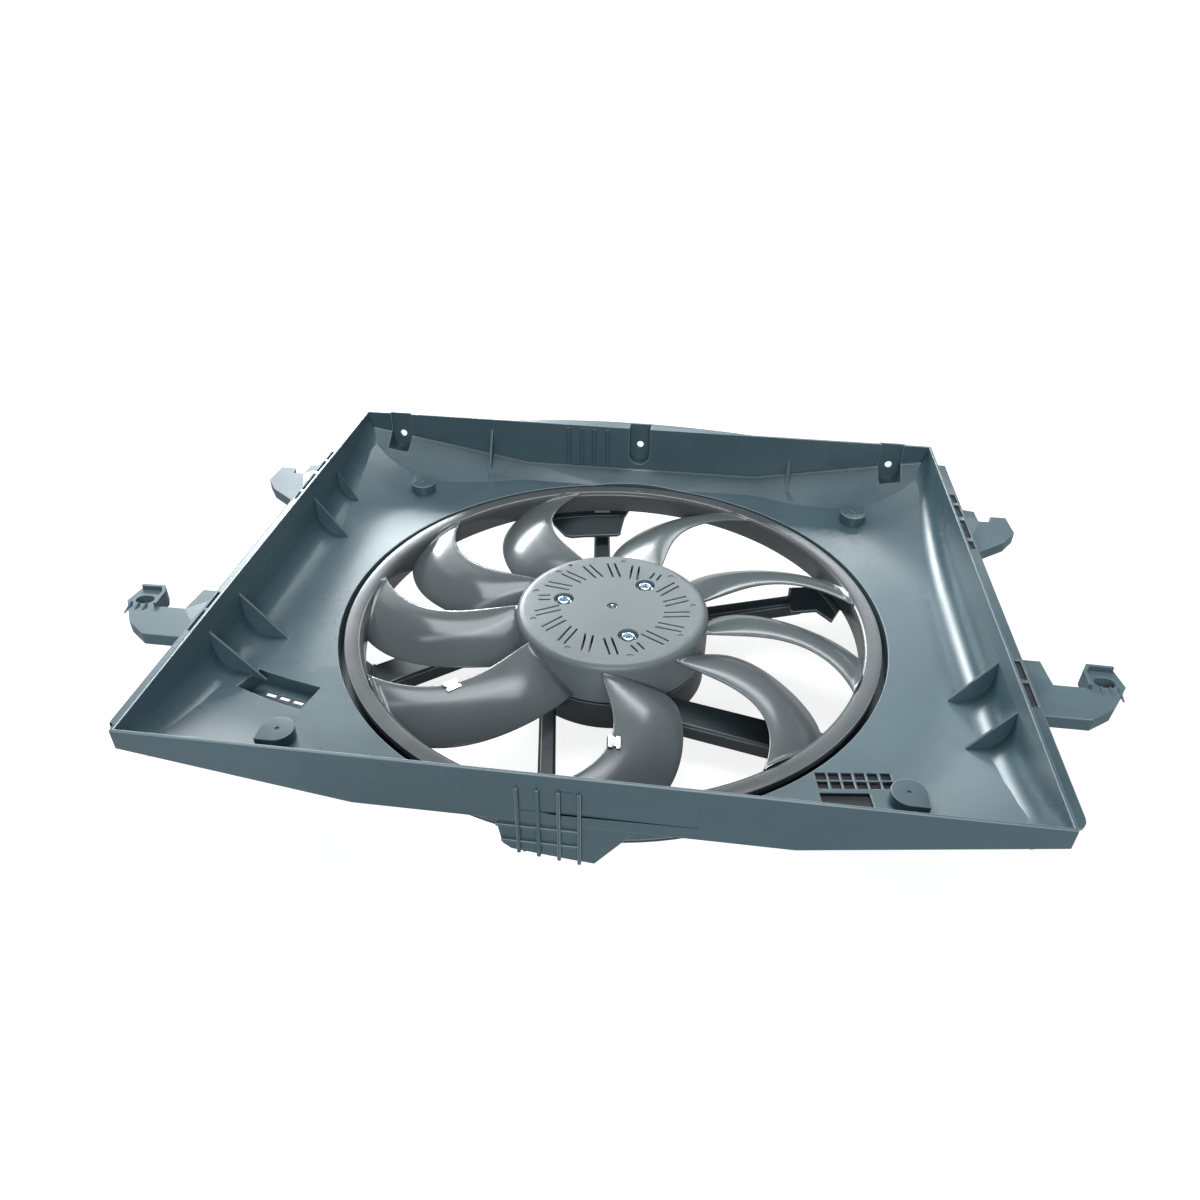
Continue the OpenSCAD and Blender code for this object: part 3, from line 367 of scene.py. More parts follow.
def sharpen(bm, degrees):
    """Smooth faces, with edges sharper than the angle kept sharp unless they border a rounding."""
    layer = rounded_layer(bm)
    for face in bm.faces:
        face.smooth = True
    for edge in bm.edges:
        rounded = any(face[layer] for face in edge.link_faces)
        edge.smooth = math.degrees(edge.calc_face_angle(0)) < (60 if rounded else degrees)


def mark_rounded(bm, faces):
    """Marks rounded faces with 1, in the attribute by which the finish paints a highlight on them."""
    layer = rounded_layer(bm)
    for face in faces:
        face[layer] = 1


def to_object(name, bm, material, body, replaced, degrees=35, weighted=False):
    """A finished piece from a bmesh: it rides on a body and stands for the CAD nodes in replaced."""
    sharpen(bm, degrees)
    mesh = bpy.data.meshes.new(name)
    bm.to_mesh(mesh)
    bm.free()
    mesh.materials.append(material)
    piece = bpy.data.objects.new(name, mesh)
    bpy.context.scene.collection.objects.link(piece)
    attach(piece, body)
    if replaced:
        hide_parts(*replaced)
    if weighted:
        weights = piece.modifiers.new("face_weights", "WEIGHTED_NORMAL")
        weights.keep_sharp = True
    return piece


def merged_copy(node):
    """A bmesh of a CAD node with its loose triangles merged."""
    bm = bmesh.new()
    bm.from_mesh(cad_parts[node].data)
    bmesh.ops.remove_doubles(bm, verts=bm.verts, dist=1e-6)
    rounded_layer(bm)
    return bm


def round_edges(bm, width, degrees, reach=1.0):
    """Rounds and marks the outward edges sharper than the angle that lie within a reach to the sides."""
    limit = math.radians(degrees)
    sharp = []
    for edge in bm.edges:
        if max(abs(vert.co.x) for vert in edge.verts) > reach:
            continue
        if edge.is_manifold and edge.is_convex and edge.calc_face_angle(0) > limit:
            if min(face.calc_area() for face in edge.link_faces) > 1.5 * width * edge.calc_length():
                sharp.append(edge)
    made = bmesh.ops.bevel(bm, geom=sharp, offset=width, offset_type="OFFSET", segments=2, profile=0.5,
                           affect="EDGES", clamp_overlap=False, material=-1)
    # The rounded faces are marked to take the finish's painted highlight.
    mark_rounded(bm, made["faces"])


def softened(node, piece_name, material, body, width, degrees=40, first=None, smooth=35, reach=1.0):
    """A copy of a CAD node with rounded edges, which stands for it."""
    bm = merged_copy(node)
    bmesh.ops.dissolve_limit(bm, angle_limit=math.radians(0.02), verts=bm.verts, edges=bm.edges,
                             use_dissolve_boundaries=False, delimit={"NORMAL"})
    if first:
        first(bm)
    round_edges(bm, width, degrees, reach)
    bmesh.ops.triangulate(bm, faces=[f for f in bm.faces if len(f.verts) > 4])
    return to_object(piece_name, bm, material, body, [node], smooth, weighted=True)


def set_material(node, material):
    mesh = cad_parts[node].data
    mesh.materials.clear()
    mesh.materials.append(material)


# Coves of the side walls, and the vents' place in the floor

COVE_RADIUS = 22.6 * MM
COVE_WALL = 1.2 * MM
COVE_SINK = 0.15 * MM
COVE_TAIL = 5.0 * MM
COVE_TAIL_DIP = 0.6 * MM
COVE_MARGIN = 3.0 * MM
COVE_STEPS = 12
COVE_PROBES = 24
COVE_STATIONS = 96
COVE_FIRST_REACH = 0.12
COVE_SMALLEST = 4.0 * MM
BARREL_MIDDLE = 226.2 * MM
VENT_PLACE = (184.14 * MM, -172.92 * MM)
VENT_TURN = math.radians(7)

# Blades, from the same shape rules as the CAD blades

BLADE_GAPS = (36.7, 30.7, 38.2, 51.5, 43.8, 31.9, 32.7, 44.6)
FIRST_BLADE = 113.2
BLADE_SWEEP = (0, 5.2, 6.3, 2, -7.9)
BLADE_CHORD = (35.4, 28.3, 21.4, 18.8, 18.8)
BLADE_FALL = (27.7, 19.2, 19, 20.2, 19.4)
BLADE_SPANS = 44
BLADE_ROUNDS = 48
BLADE_BITE = 1.2 * MM
LEADING_DROP = 1.4 * MM
CLIPPED_BLADES = (4, 5)
CLIP_STATION = 0.6
CLIP_LEAN = -14.0


def blade_headings():
    """Headings of the blades in degrees, which are spaced unevenly to spread the fan's tone."""
    heading = FIRST_BLADE
    found = [heading]
    for gap in BLADE_GAPS:
        heading += gap
        found.append(heading)
    return found


def through(values, u):
    """Value at u from 0 to 1 of the smooth curve through five evenly spaced values."""
    x = 4 * u
    total = 0.0
    for j, value in enumerate(values):
        weight = 1.0
        for k in range(5):
            if k != j:
                weight *= (x - k) / (j - k)
        total += weight * value
    return total


def ring_inner():
    return RING_OUTER - sizes().ring_lip - sizes().ring_wall


def blade_mid(u, s):
    """Point of a blade's middle surface, at u from hub to ring and s from leading to trailing edge."""
    inner = sizes().hub_radius - BLADE_BITE
    outer = ring_inner() + BLADE_BITE
    radius = inner + (outer - inner) * u
    angle = math.radians(through(BLADE_SWEEP, u) + through(BLADE_CHORD, u) * s)
    fall = through(BLADE_FALL, u) * MM * s
    height = RING_TOP - LEADING_DROP - fall + 4 * sizes().blade_camber * s * (1 - s)
    return Vector((radius * math.cos(angle), radius * math.sin(angle), height))


def blade_normal(u, s):
    along = blade_mid(u + 0.01, s) - blade_mid(u - 0.01, s)
    across = blade_mid(u, s + 0.02) - blade_mid(u, s - 0.02)
    return along.cross(across).normalized()


def blade_half(u, s):
    """Half thickness of a blade, with round edges and fillets at the hub and the ring."""
    thick = sizes().blade_root + (sizes().blade_tip - sizes().blade_root) * u
    half = thick / 2 * max(0.0, 4 * s * (1 - s)) ** 0.25
    span = ring_inner() - sizes().hub_radius + 2 * BLADE_BITE
    for gap in (u * span - BLADE_BITE, (1 - u) * span - BLADE_BITE):
        reach = sizes().fillet
        gap = max(gap, 0.0)
        if gap < reach:
            half += (reach - math.sqrt(reach ** 2 - (reach - gap) ** 2)) * min(1.0, 6 * s, 6 * (1 - s))
    return half


def blade_stations(count):
    """Places from hub to ring, closer together in the fillets."""
    return [0.5 - 0.5 * math.cos(math.pi * i / count) for i in range(count + 1)]


def add_blade(bm, heading):
    """One closed blade: a grid wrapped round the section, with its two ends capped."""
    made = bmesh.ops.create_grid(bm, x_segments=BLADE_SPANS, y_segments=BLADE_ROUNDS, size=1.0)
    stations = blade_stations(BLADE_SPANS)
    turn = Matrix.Rotation(math.radians(heading), 3, "Z")
    for vert in made["verts"]:
        u = stations[round((vert.co.x + 1) / 2 * BLADE_SPANS)]
        t = (vert.co.y + 1) / 2
        s = 0.5 - 0.5 * math.cos(2 * math.pi * t)
        side = 1.0 if t <= 0.5 else -1.0
        point = blade_mid(u, s) + side * blade_half(u, s) * blade_normal(u, s)
        vert.co = turn @ point
    bmesh.ops.remove_doubles(bm, verts=made["verts"], dist=1e-6)


class COOLINGFAN_OT_blades(Operator):
    """Model the nine swept and twisted blades with round edges and root fillets"""

    bl_idname = "coolingfan.blades"
    bl_label = "Blades"

    def execute(self, context):
        look = plastic("blade_plastic", finish().blade_colour, finish().blade_roughness,
                       grain_scale=700.0, grain_depth=0.08, flow=0.02, dust=0.02)
        for number, heading in enumerate(blade_headings(), 1):
            bm = bmesh.new()
            add_blade(bm, heading)
            rim = [e for e in bm.edges if e.is_boundary]
            bmesh.ops.holes_fill(bm, edges=rim, sides=0)
            bmesh.ops.recalc_face_normals(bm, faces=bm.faces)
            name = f"blade_{number}"
            to_object(name, bm, look, "rotor", ["fan_" + name], 50)
        return {"FINISHED"}


def spun(profile, steps):
    """A closed ring turned from a closed profile of (radius, height) points."""
    bm = bmesh.new()
    verts = [bm.verts.new((radius, 0.0, height)) for radius, height in profile]
    edges = [bm.edges.new((a, b)) for a, b in zip(verts, verts[1:] + verts[:1])]
    bmesh.ops.spin(bm, geom=verts + edges, axis=(0, 0, 1), cent=(0, 0, 0), angle=2 * math.pi,
                   steps=steps, use_merge=True)
    bmesh.ops.remove_doubles(bm, verts=bm.verts, dist=1e-7)
    bmesh.ops.recalc_face_normals(bm, faces=bm.faces)
    rounded_layer(bm)
    return bm


def corner(points, centre, radius, start, stop, count=5):
    """Adds an arc about centre to a profile, from start to stop degrees."""
    for i in range(count + 1):
        angle = math.radians(start + (stop - start) * i / count)
        points.append((centre[0] + radius * math.cos(angle), centre[1] + radius * math.sin(angle)))


class COOLINGFAN_OT_ring(Operator):
    """Turn the fan's ring with its flat lip, rounded at both edges, and its cylinder"""

    bl_idname = "coolingfan.ring"
    bl_label = "Ring"

    def execute(self, context):
        inner = ring_inner()
        wall = sizes().ring_wall
        outer = RING_OUTER
        top = RING_TOP
        soft = 0.9 * MM
        points = []
        corner(points, (inner + 5.0 * MM, top - 5.0 * MM), 5.0 * MM, 180, 97, 9)
        corner(points, (outer - soft, top - soft), soft, 90, 0)
        corner(points, (outer - 0.6 * MM, top - 5.4 * MM), 0.6 * MM, 0, -90, 3)
        corner(points, (outer - 1.6 * MM, top - 5.6 * MM), 0.4 * MM, -90, -180, 2)
        points.append((outer - 2.0 * MM, top - 2.4 * MM))
        points.append((inner + 7.0 * MM, top - 2.4 * MM))
        corner(points, (inner + 6.0 * MM, top - 6.4 * MM), 3.5 * MM, 100, 180, 6)
        corner(points, (inner + wall - 0.5 * MM, RING_BOTTOM + 0.5 * MM), 0.5 * MM, 0, -90, 3)
        corner(points, (inner + 0.5 * MM, RING_BOTTOM + 0.5 * MM), 0.5 * MM, -90, -180, 3)
        bm = spun(points, sizes().ring_steps)
        # Painted highlight: the rounded faces at the lip's outer edge are marked, so the finish paints them
        # lighter as thin highlight lines.
        rounded = [f for f in bm.faces if 0.25 < abs(f.normal.z) < 0.9 and
                   f.calc_center_median().xy.length > outer - 1.2 * MM]
        mark_rounded(bm, rounded)
        look = plastic("ring_plastic", finish().ring_colour, 0.24, grain_scale=700.0, grain_depth=0.08,
                       flow=0.01, dust=0.03, edge_light=0.6)
        to_object("ring", bm, look, "rotor", ["fan_ring"], 50)
        return {"FINISHED"}


class COOLINGFAN_OT_hub(Operator):
    """Round the edges of the hub, its slots and its screw pockets"""

    bl_idname = "coolingfan.hub"
    bl_label = "Hub"

    def execute(self, context):
        look = plastic("hub_plastic", finish().hub_colour, 0.38, grain_scale=1800.0, grain_depth=0.25,
                       flow=0.05, dust=0.04)
        softened("fan_hub", "hub", look, "rotor", 0.25 * MM, 50)
        return {"FINISHED"}


def round_ledges(bm):
    """Rounds the long low-angled edges of the steps along the end walls more widely."""
    edges = []
    for edge in bm.edges:
        if not (edge.is_manifold and edge.is_convex and 0.4 < edge.calc_face_angle(0) < 0.7):
            continue
        inside = all(abs(v.co.y) > LEDGE_FROM and v.co.z < RIM_Z - 10 * MM for v in edge.verts)
        if inside and edge.calc_length() > 12 * MM and max(f.normal.z for f in edge.link_faces) > 0.9:
            edges.append(edge)
    made = bmesh.ops.bevel(bm, geom=edges, offset=1.4 * MM, offset_type="OFFSET", segments=3, profile=0.5,
                           affect="EDGES", clamp_overlap=False, material=-1)
    # The ledge roundings are marked to take the finish's painted highlight.
    mark_rounded(bm, made["faces"])


class COOLINGFAN_OT_tray(Operator):
    """Round the moulded edges of the tray"""

    bl_idname = "coolingfan.tray"
    bl_label = "Tray"

    def execute(self, context):
        look = plastic("shroud_plastic", finish().shroud_colour, finish().shroud_roughness,
                       grain_scale=1400.0, grain_depth=0.30, flow=0.06, dust=0.08)
        matt = plastic("ear_plastic", finish().shroud_colour, 0.52,
                       grain_scale=1400.0, grain_depth=0.30, flow=0.06, dust=0.08)
        tray = softened("shroud", "tray", look, "housing", sizes().edge_round, 40,
                        round_ledges, 12, EAR_REACH)
        tray.data.materials.append(matt)
        for face in tray.data.polygons:
            if abs(face.center.x) > EAR_FROM:
                face.material_index = 1
        return {"FINISHED"}


def floor_height(tree, x, y):
    """Height of the tray's inside at a place; the lowest of three casts misses the thin webs."""
    heights = []
    for step in (-3 * MM, 0.0, 3 * MM):
        beside = max(-WALL_Y + MM, min(WALL_Y - MM, y + step))
        hit = tree.ray_cast(Vector((x, beside, RIM_Z + MM)), Vector((0, 0, -1)))[0]
        heights.append(hit.z)
    return min(heights)


def cove_section(tree, y):
    """Radius, centre height and reach in radians of the cove that touches the wall and the floor at y."""
    radius = COVE_RADIUS
    while True:
        best = (-1.0, 0.0)
        for i in range(COVE_PROBES + 1):
            angle = math.pi / 2 * (COVE_FIRST_REACH + (1 - COVE_FIRST_REACH) * i / COVE_PROBES)
            x = WALL_X - radius + radius * math.cos(angle)
            best = max(best, (floor_height(tree, x, y) + radius * math.sin(angle), angle))
        if best[0] < RIM_Z - COVE_MARGIN or radius < COVE_SMALLEST:
            return radius, best[0], best[1]
        radius -= 0.5 * MM


def averaged(values, reach):
    """The values, each averaged with its neighbours within reach."""
    found = []
    for i in range(len(values)):
        near = values[max(0, i - reach):i + reach + 1]
        found.append([sum(column) / len(near) for column in zip(*near)])
    return found


def cove_profile(radius, height, reach):
    """Closed outline of a cove's thin wall: down its face, on into the floor, and back behind it."""
    centre = (WALL_X - radius, height - COVE_SINK)
    outline = []
    for arm, dip in ((radius, 0.0), (radius + COVE_WALL, COVE_WALL)):
        face = []
        for i in range(COVE_STEPS + 1):
            angle = reach * i / COVE_STEPS
            face.append((centre[0] + arm * math.cos(angle), centre[1] - arm * math.sin(angle)))
        last = face[-1]
        tail = (-COVE_TAIL * math.sin(reach), -COVE_TAIL * math.cos(reach))
        sunk = COVE_TAIL_DIP + 0.2 * dip
        face.append((last[0] + tail[0] + sunk * math.cos(reach), last[1] + tail[1] - sunk * math.sin(reach)))
        outline += face if not outline else face[::-1]
    return outline


def add_cove(bm, sections, side):
    """A thin curved wall along the foot of a side wall, from the near wall to the far wall."""
    outlines = [cove_profile(*section) for section in sections]
    rows, rounds = len(outlines) - 1, len(outlines[0])
    made = bmesh.ops.create_grid(bm, x_segments=rows, y_segments=rounds, size=1.0)
    for vert in made["verts"]:
        row = round((vert.co.x + 1) / 2 * rows)
        x, z = outlines[row][round((vert.co.y + 1) / 2 * rounds) % rounds]
        vert.co = (side * x, WALL_Y * (2 * row / rows - 1), z)
    bmesh.ops.remove_doubles(bm, verts=made["verts"], dist=1e-7)


class COOLINGFAN_OT_coves(Operator):
    """Carry the coves of the side walls on into the tray's raised corners"""

    bl_idname = "coolingfan.coves"
    bl_label = "Coves"

    def execute(self, context):
        tray = merged_copy("shroud")
        tree = BVHTree.FromBMesh(tray)
        tray.free()
        stations = [WALL_Y * (2 * i / COVE_STATIONS - 1) for i in range(COVE_STATIONS + 1)]
        sections = averaged([cove_section(tree, y) for y in stations], 2)
        bm = bmesh.new()
        for side in (-1, 1):
            add_cove(bm, sections, side)
        bmesh.ops.holes_fill(bm, edges=[e for e in bm.edges if e.is_boundary], sides=0)
        bmesh.ops.recalc_face_normals(bm, faces=bm.faces)
        look = bpy.data.objects["tray"].data.materials[0]
        to_object("wall_coves", bm, look, "housing", [], 50)
        return {"FINISHED"}


def flat_sheet(bm, centre, turn, low, high, z0, z1, cells):
    """A flat sheet between two corners of its own frame, turned and set about a centre."""
    made = bmesh.ops.create_grid(bm, x_segments=cells, y_segments=cells, size=0.5)
    faces = {face for vert in made["verts"] for face in vert.link_faces}
    spin = Matrix.Rotation(turn, 2)
    for vert in made["verts"]:
        x = low[0] + (high[0] - low[0]) * (vert.co.x + 0.5)
        y = low[1] + (high[1] - low[1]) * (vert.co.y + 0.5)
        flat = spin @ Vector((x, y)) + Vector(centre)
        if flat.length < BARREL_MIDDLE:
            flat = flat.normalized() * BARREL_MIDDLE
        vert.co = (flat.x, flat.y, z1)
    raised = bmesh.ops.extrude_face_region(bm, geom=list(faces))
    for item in raised["geom"]:
        if isinstance(item, bmesh.types.BMVert):
            item.co.z = z0


class COOLINGFAN_OT_shade_sheets(Operator):
    """Model dark sheets of painted shade under the vents and under the side flanges"""

    bl_idname = "coolingfan.seals"
    bl_label = "Shade Sheets"

    def execute(self, context):
        # Painted shade: dark sheets under the vents and the flange slots, so these openings show dark
        # instead of the floor below.
        shade_look = plastic("painted_shade_sheet", (0.008, 0.011, 0.014), 0.62, grain_depth=0.3, flow=0.02, dust=0.03)
        vent_sheet = bmesh.new()
        top = FLOOR_Z - PLASTIC_WALL
        low, high = (-28 * MM, -23 * MM), (27 * MM, 15 * MM)
        flat_sheet(vent_sheet, VENT_PLACE, VENT_TURN, low, high, top - 1.5 * MM, top, 12)
        bmesh.ops.recalc_face_normals(vent_sheet, faces=vent_sheet.faces)
        to_object("vent_shade_sheet", vent_sheet, shade_look, "housing", [])
        seals = bmesh.new()
        under = RIM_Z - 10 * MM
        for side in (-1, 1):
            left, right = sorted((side * (WALL_X + 2 * MM), side * (WALL_X + 12.4 * MM)))
            low, high = (left, -150 * MM), (right, 182 * MM)
            flat_sheet(seals, (0, 0), 0.0, low, high, under - 1.2 * MM, under, 1)
        bmesh.ops.recalc_face_normals(seals, faces=seals.faces)
        to_object("flange_shade_sheets", seals, shade_look, "housing", [])
        return {"FINISHED"}


class COOLINGFAN_OT_carrier(Operator):
    """Round the moulded edges of the spokes, the collar and the outer ring"""

    bl_idname = "coolingfan.carrier"
    bl_label = "Carrier"

    def execute(self, context):
        look = plastic("carrier_plastic", finish().carrier_colour, 0.36, grain_scale=1400.0,
                       grain_depth=0.25, flow=0.06, dust=0.04)
        for node, name in (("motor_carrier", "carrier"), ("carrier_rim", "barrel_flange")):
            softened(node, name, look, "housing", sizes().edge_round, smooth=14)
        return {"FINISHED"}


def bent_strip(path, stations, skipped):
    """A sheet along a path in YZ, spread over stations along X, without the faces in skipped."""
    bm = bmesh.new()
    rows = [[bm.verts.new((x, y, z)) for x in stations] for y, z in path]
    for j in range(len(path) - 1):
        for i in range(len(stations) - 1):
            if (i, j) not in skipped:
                bm.faces.new((rows[j][i], rows[j][i + 1], rows[j + 1][i + 1], rows[j + 1][i]))
    bmesh.ops.delete(bm, geom=[v for v in bm.verts if not v.link_faces], context="VERTS")
    return bm


def clip_sheet():
    """The sheet of a balance clip: bent round the leading edge, with a notch at each end of its top."""
    bend = 1.1 * MM
    low, high = -2.25 * MM, 2.85 * MM
    front = -1.25 * MM
    path = [(8.0 * MM, low), (4.0 * MM, low)]
    corner(path, (front + bend, low + bend), bend, 270, 180, 4)
    corner(path, (front + bend, high - bend), bend, 180, 90, 4)
    notch_row = len(path)
    path += [(2.6 * MM, high), (4.9 * MM, high), (8.0 * MM, high + 0.25 * MM)]
    stations = [x * MM for x in (-6, -4.5, 0, 4.5, 6)]
    bm = bent_strip(path, stations, {(0, notch_row), (3, notch_row)})
    bmesh.ops.recalc_face_normals(bm, faces=bm.faces)
    bmesh.ops.solidify(bm, geom=bm.faces[:], thickness=0.7 * MM)
    bmesh.ops.recalc_face_normals(bm, faces=bm.faces)
    return bm


class COOLINGFAN_OT_clips(Operator):
    """Model the two balance clips as bent sheet with notched ends"""

    bl_idname = "coolingfan.clips"
    bl_label = "Balance Clips"

    def execute(self, context):
        look = metal("clip_steel", finish().steel_colour, 0.30, grain_depth=0.05)
        bm = bmesh.new()
        for number in CLIPPED_BLADES:
            turn = Matrix.Rotation(math.radians(blade_headings()[number - 1]), 4, "Z")
            spot = turn @ blade_mid(CLIP_STATION, 0.0)
            sheet = clip_sheet()
            lean = Matrix.Rotation(math.radians(CLIP_LEAN), 4, "X")
            heading = Matrix.Rotation(math.atan2(spot.y, spot.x), 4, "Z")
            sheet.transform(Matrix.Translation(spot) @ heading @ lean)
            mesh = bpy.data.meshes.new("sheet")
            sheet.to_mesh(mesh)
            sheet.free()
            bm.from_mesh(mesh)
            bpy.data.meshes.remove(mesh)
        rounded_layer(bm)
        round_edges(bm, 0.12 * MM, 40)
        to_object("clips", bm, look, "rotor", ["balance_clips"])
        return {"FINISHED"}


def lobed(profile, steps, lobes):
    """A solid turned from (radius, height, ripple) points, whose radius ripples with a number of lobes."""
    bm = bmesh.new()
    loops = []
    for radius, height, ripple in profile:
        loop = []
        for i in range(steps):
            angle = 2 * math.pi * i / steps
            reach = radius + ripple * math.cos(lobes * angle)
            loop.append(bm.verts.new((reach * math.cos(angle), reach * math.sin(angle), height)))
        loops.append(loop)
    for low, high in zip(loops, loops[1:]):
        for i in range(steps):
            j = (i + 1) % steps
            bm.faces.new((low[i], low[j], high[j], high[i]))
    bm.faces.new(loops[0][::-1])
    bm.faces.new(loops[-1])
    bmesh.ops.recalc_face_normals(bm, faces=bm.faces)
    return bm


def flanged_screw(head, height, shank, length):
    """A screw with a flange, a low round head and a six-lobed recess, on its seat at z = 0."""
    flange = 0.28 * height
    recess = 0.42 * head
    points = [(shank * 0.7, -length, 0.0), (shank, -length + shank * 0.3, 0.0), (shank, 0.0, 0.0)]
    points += [(head * 0.97, 0.0, 0.0), (head, flange * 0.3, 0.0), (head * 0.97, flange, 0.0)]
    points += [(head * 0.76, flange * 1.25, 0.0), (head * 0.72, height * 0.72, 0.0)]
    points += [(head * 0.66, height * 0.93, 0.0), (head * 0.56, height, 0.0)]
    points += [(recess, height, recess * 0.14), (recess * 0.96, height * 0.35, recess * 0.14)]
    points += [(recess * 0.2, height * 0.25, 0.0)]
    return lobed(points, 72, 6)


def placed_screws(name, look, body, node, places, turn_over, screw_sizes):
    """One piece with a screw at each place, which stands for a CAD node of screws."""
    bm = bmesh.new()
    for place in places:
        screw = flanged_screw(*screw_sizes)
        flip = Matrix.Rotation(math.pi, 4, "X") if turn_over else Matrix.Identity(4)
        screw.transform(Matrix.Translation(place) @ flip)
        mesh = bpy.data.meshes.new("screw")
        screw.to_mesh(mesh)
        screw.free()
        bm.from_mesh(mesh)
        bpy.data.meshes.remove(mesh)
    to_object(name, bm, look, body, [node], 40)


def ring_places(radius, headings, height):
    """Places on a circle about the fan axis, at headings in degrees."""
    turns = [math.radians(heading) for heading in headings]
    return [Vector((radius * math.cos(turn), radius * math.sin(turn), height)) for turn in turns]


class COOLINGFAN_OT_screws(Operator):
    """Model the fan's, the base's and the cover's screws with flanges and six-lobed recesses"""

    bl_idname = "coolingfan.screws"
    bl_label = "Screws"

    def execute(self, context):
        zinc = metal("blue_zinc", finish().zinc_colour, 0.16, grain_depth=0.05)
        base_low, base_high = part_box("base_screws")
        cover_low, cover_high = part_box("cover_screws")
        placed_screws("fan_screws", zinc, "rotor", "hub_screws",
                      ring_places(42 * MM, (54, 174, 294), HUB_TOP - 4 * MM), False,
                      (7.4 * MM, 3.6 * MM, 2.5 * MM, 6.2 * MM))
        placed_screws("seat_screws", zinc, "housing", "base_screws",
                      ring_places(71 * MM, (30, 150, 270), base_high.z - 2 * MM), False,
                      (2.7 * MM, 2 * MM, 1.7 * MM, base_high.z - base_low.z - 2 * MM))
        placed_screws("back_screws", zinc, "housing", "cover_screws",
                      ring_places(62 * MM, (10, 100, 190, 280), cover_low.z + 2 * MM), True,
                      (2.6 * MM, 2 * MM, 1.45 * MM, cover_high.z - cover_low.z - 2 * MM))
        return {"FINISHED"}


class COOLINGFAN_OT_shaft(Operator):
    """Turn the motor shaft with its chamfered end, its bright collar and its dark centre hole"""

    bl_idname = "coolingfan.shaft"
    bl_label = "Shaft"

    def execute(self, context):
        low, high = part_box("motor_shaft")
        radius = high.x
        groove = low.z + 2.6 * MM
        points = [(0.0, low.z), (radius - 0.5 * MM, low.z), (radius, low.z + 0.5 * MM),
                  (radius, groove - 0.6 * MM), (radius - 0.6 * MM, groove - 0.6 * MM),
                  (radius - 0.6 * MM, groove + 0.6 * MM), (radius, groove + 0.6 * MM)]
        corner(points, (radius - 0.3 * MM, high.z - 0.3 * MM), 0.3 * MM, 0, 90, 3)
        points += [(radius - 0.6 * MM, high.z), (radius - 0.8 * MM, high.z - 0.3 * MM),
                   (radius - 0.8 * MM, high.z - 6.0 * MM), (0.0, high.z - 6.6 * MM)]
        look = metal("shaft_steel_finish", finish().steel_colour, 0.24, grain_depth=0.08)
        to_object("shaft", spun(points, 64), look, "rotor", ["motor_shaft"], 30)
        return {"FINISHED"}


class COOLINGFAN_OT_metalwork(Operator):
    """Finish the motor's bearings, bell, castings, coils and iron"""

    bl_idname = "coolingfan.metalwork"
    bl_label = "Metalwork"

    def execute(self, context):
        steel = metal("bright_steel", finish().steel_colour, 0.24, grain_depth=0.08)
        sheet = metal("drawn_steel", (0.50, 0.51, 0.52), 0.36)
        cast = metal("cast_aluminium", (0.62, 0.63, 0.64), 0.46, grain_scale=1400.0, grain_depth=0.4)
        copper = metal("enamelled_copper", (0.62, 0.24, 0.09), 0.28, grain_scale=2200.0, grain_depth=0.5)
        iron = metal("laminated_iron", (0.30, 0.30, 0.31), 0.45, grain_scale=2600.0, grain_depth=0.4)
        brass = metal("turned_brass", (0.66, 0.50, 0.22), 0.30)
        for look, nodes in (
                (steel, ("bearing_inner_races", "bearing_outer_races", "retaining_ring")),
                (sheet, ("rotor_bell",)),
                (cast, ("motor_base", "rear_cover")),
                (copper, ("stator_windings",)),
                (iron, ("stator_core", "rotor_magnets")),
                (brass, ("bearing_spacer", "connector_pins"))):
            for node in nodes:
                set_material(node, look)
        return {"FINISHED"}


class COOLINGFAN_OT_electronics(Operator):
    """Finish the circuit board, its parts, the gasket, the winding frame and the socket"""

    bl_idname = "coolingfan.electronics"
    bl_label = "Electronics"

    def execute(self, context):
        for node, colour, rough in (
                ("circuit_board", (0.012, 0.11, 0.045), 0.35),
                ("capacitors", (0.02, 0.025, 0.07), 0.30),
                ("power_transistors", (0.010, 0.010, 0.011), 0.40),
                ("cover_gasket", (0.012, 0.012, 0.012), 0.60),
                ("winding_frame", (0.62, 0.58, 0.46), 0.45),
                ("connector_socket", (0.014, 0.015, 0.016), 0.38)):
            set_material(node, plastic(node + "_finish", colour, rough, dust=0.02, flow=0.03))
        return {"FINISHED"}


class COOLINGFAN_OT_stage(Operator):
    """Set the floor, the soft lights and the photograph's camera"""

    bl_idname = "coolingfan.stage"
    bl_label = "Stage"

    def execute(self, context):
        scene = context.scene
        add_floor(scene)
        add_lights(scene)
        add_camera(scene)
        scene.view_settings.view_transform = "Standard"
        return {"FINISHED"}


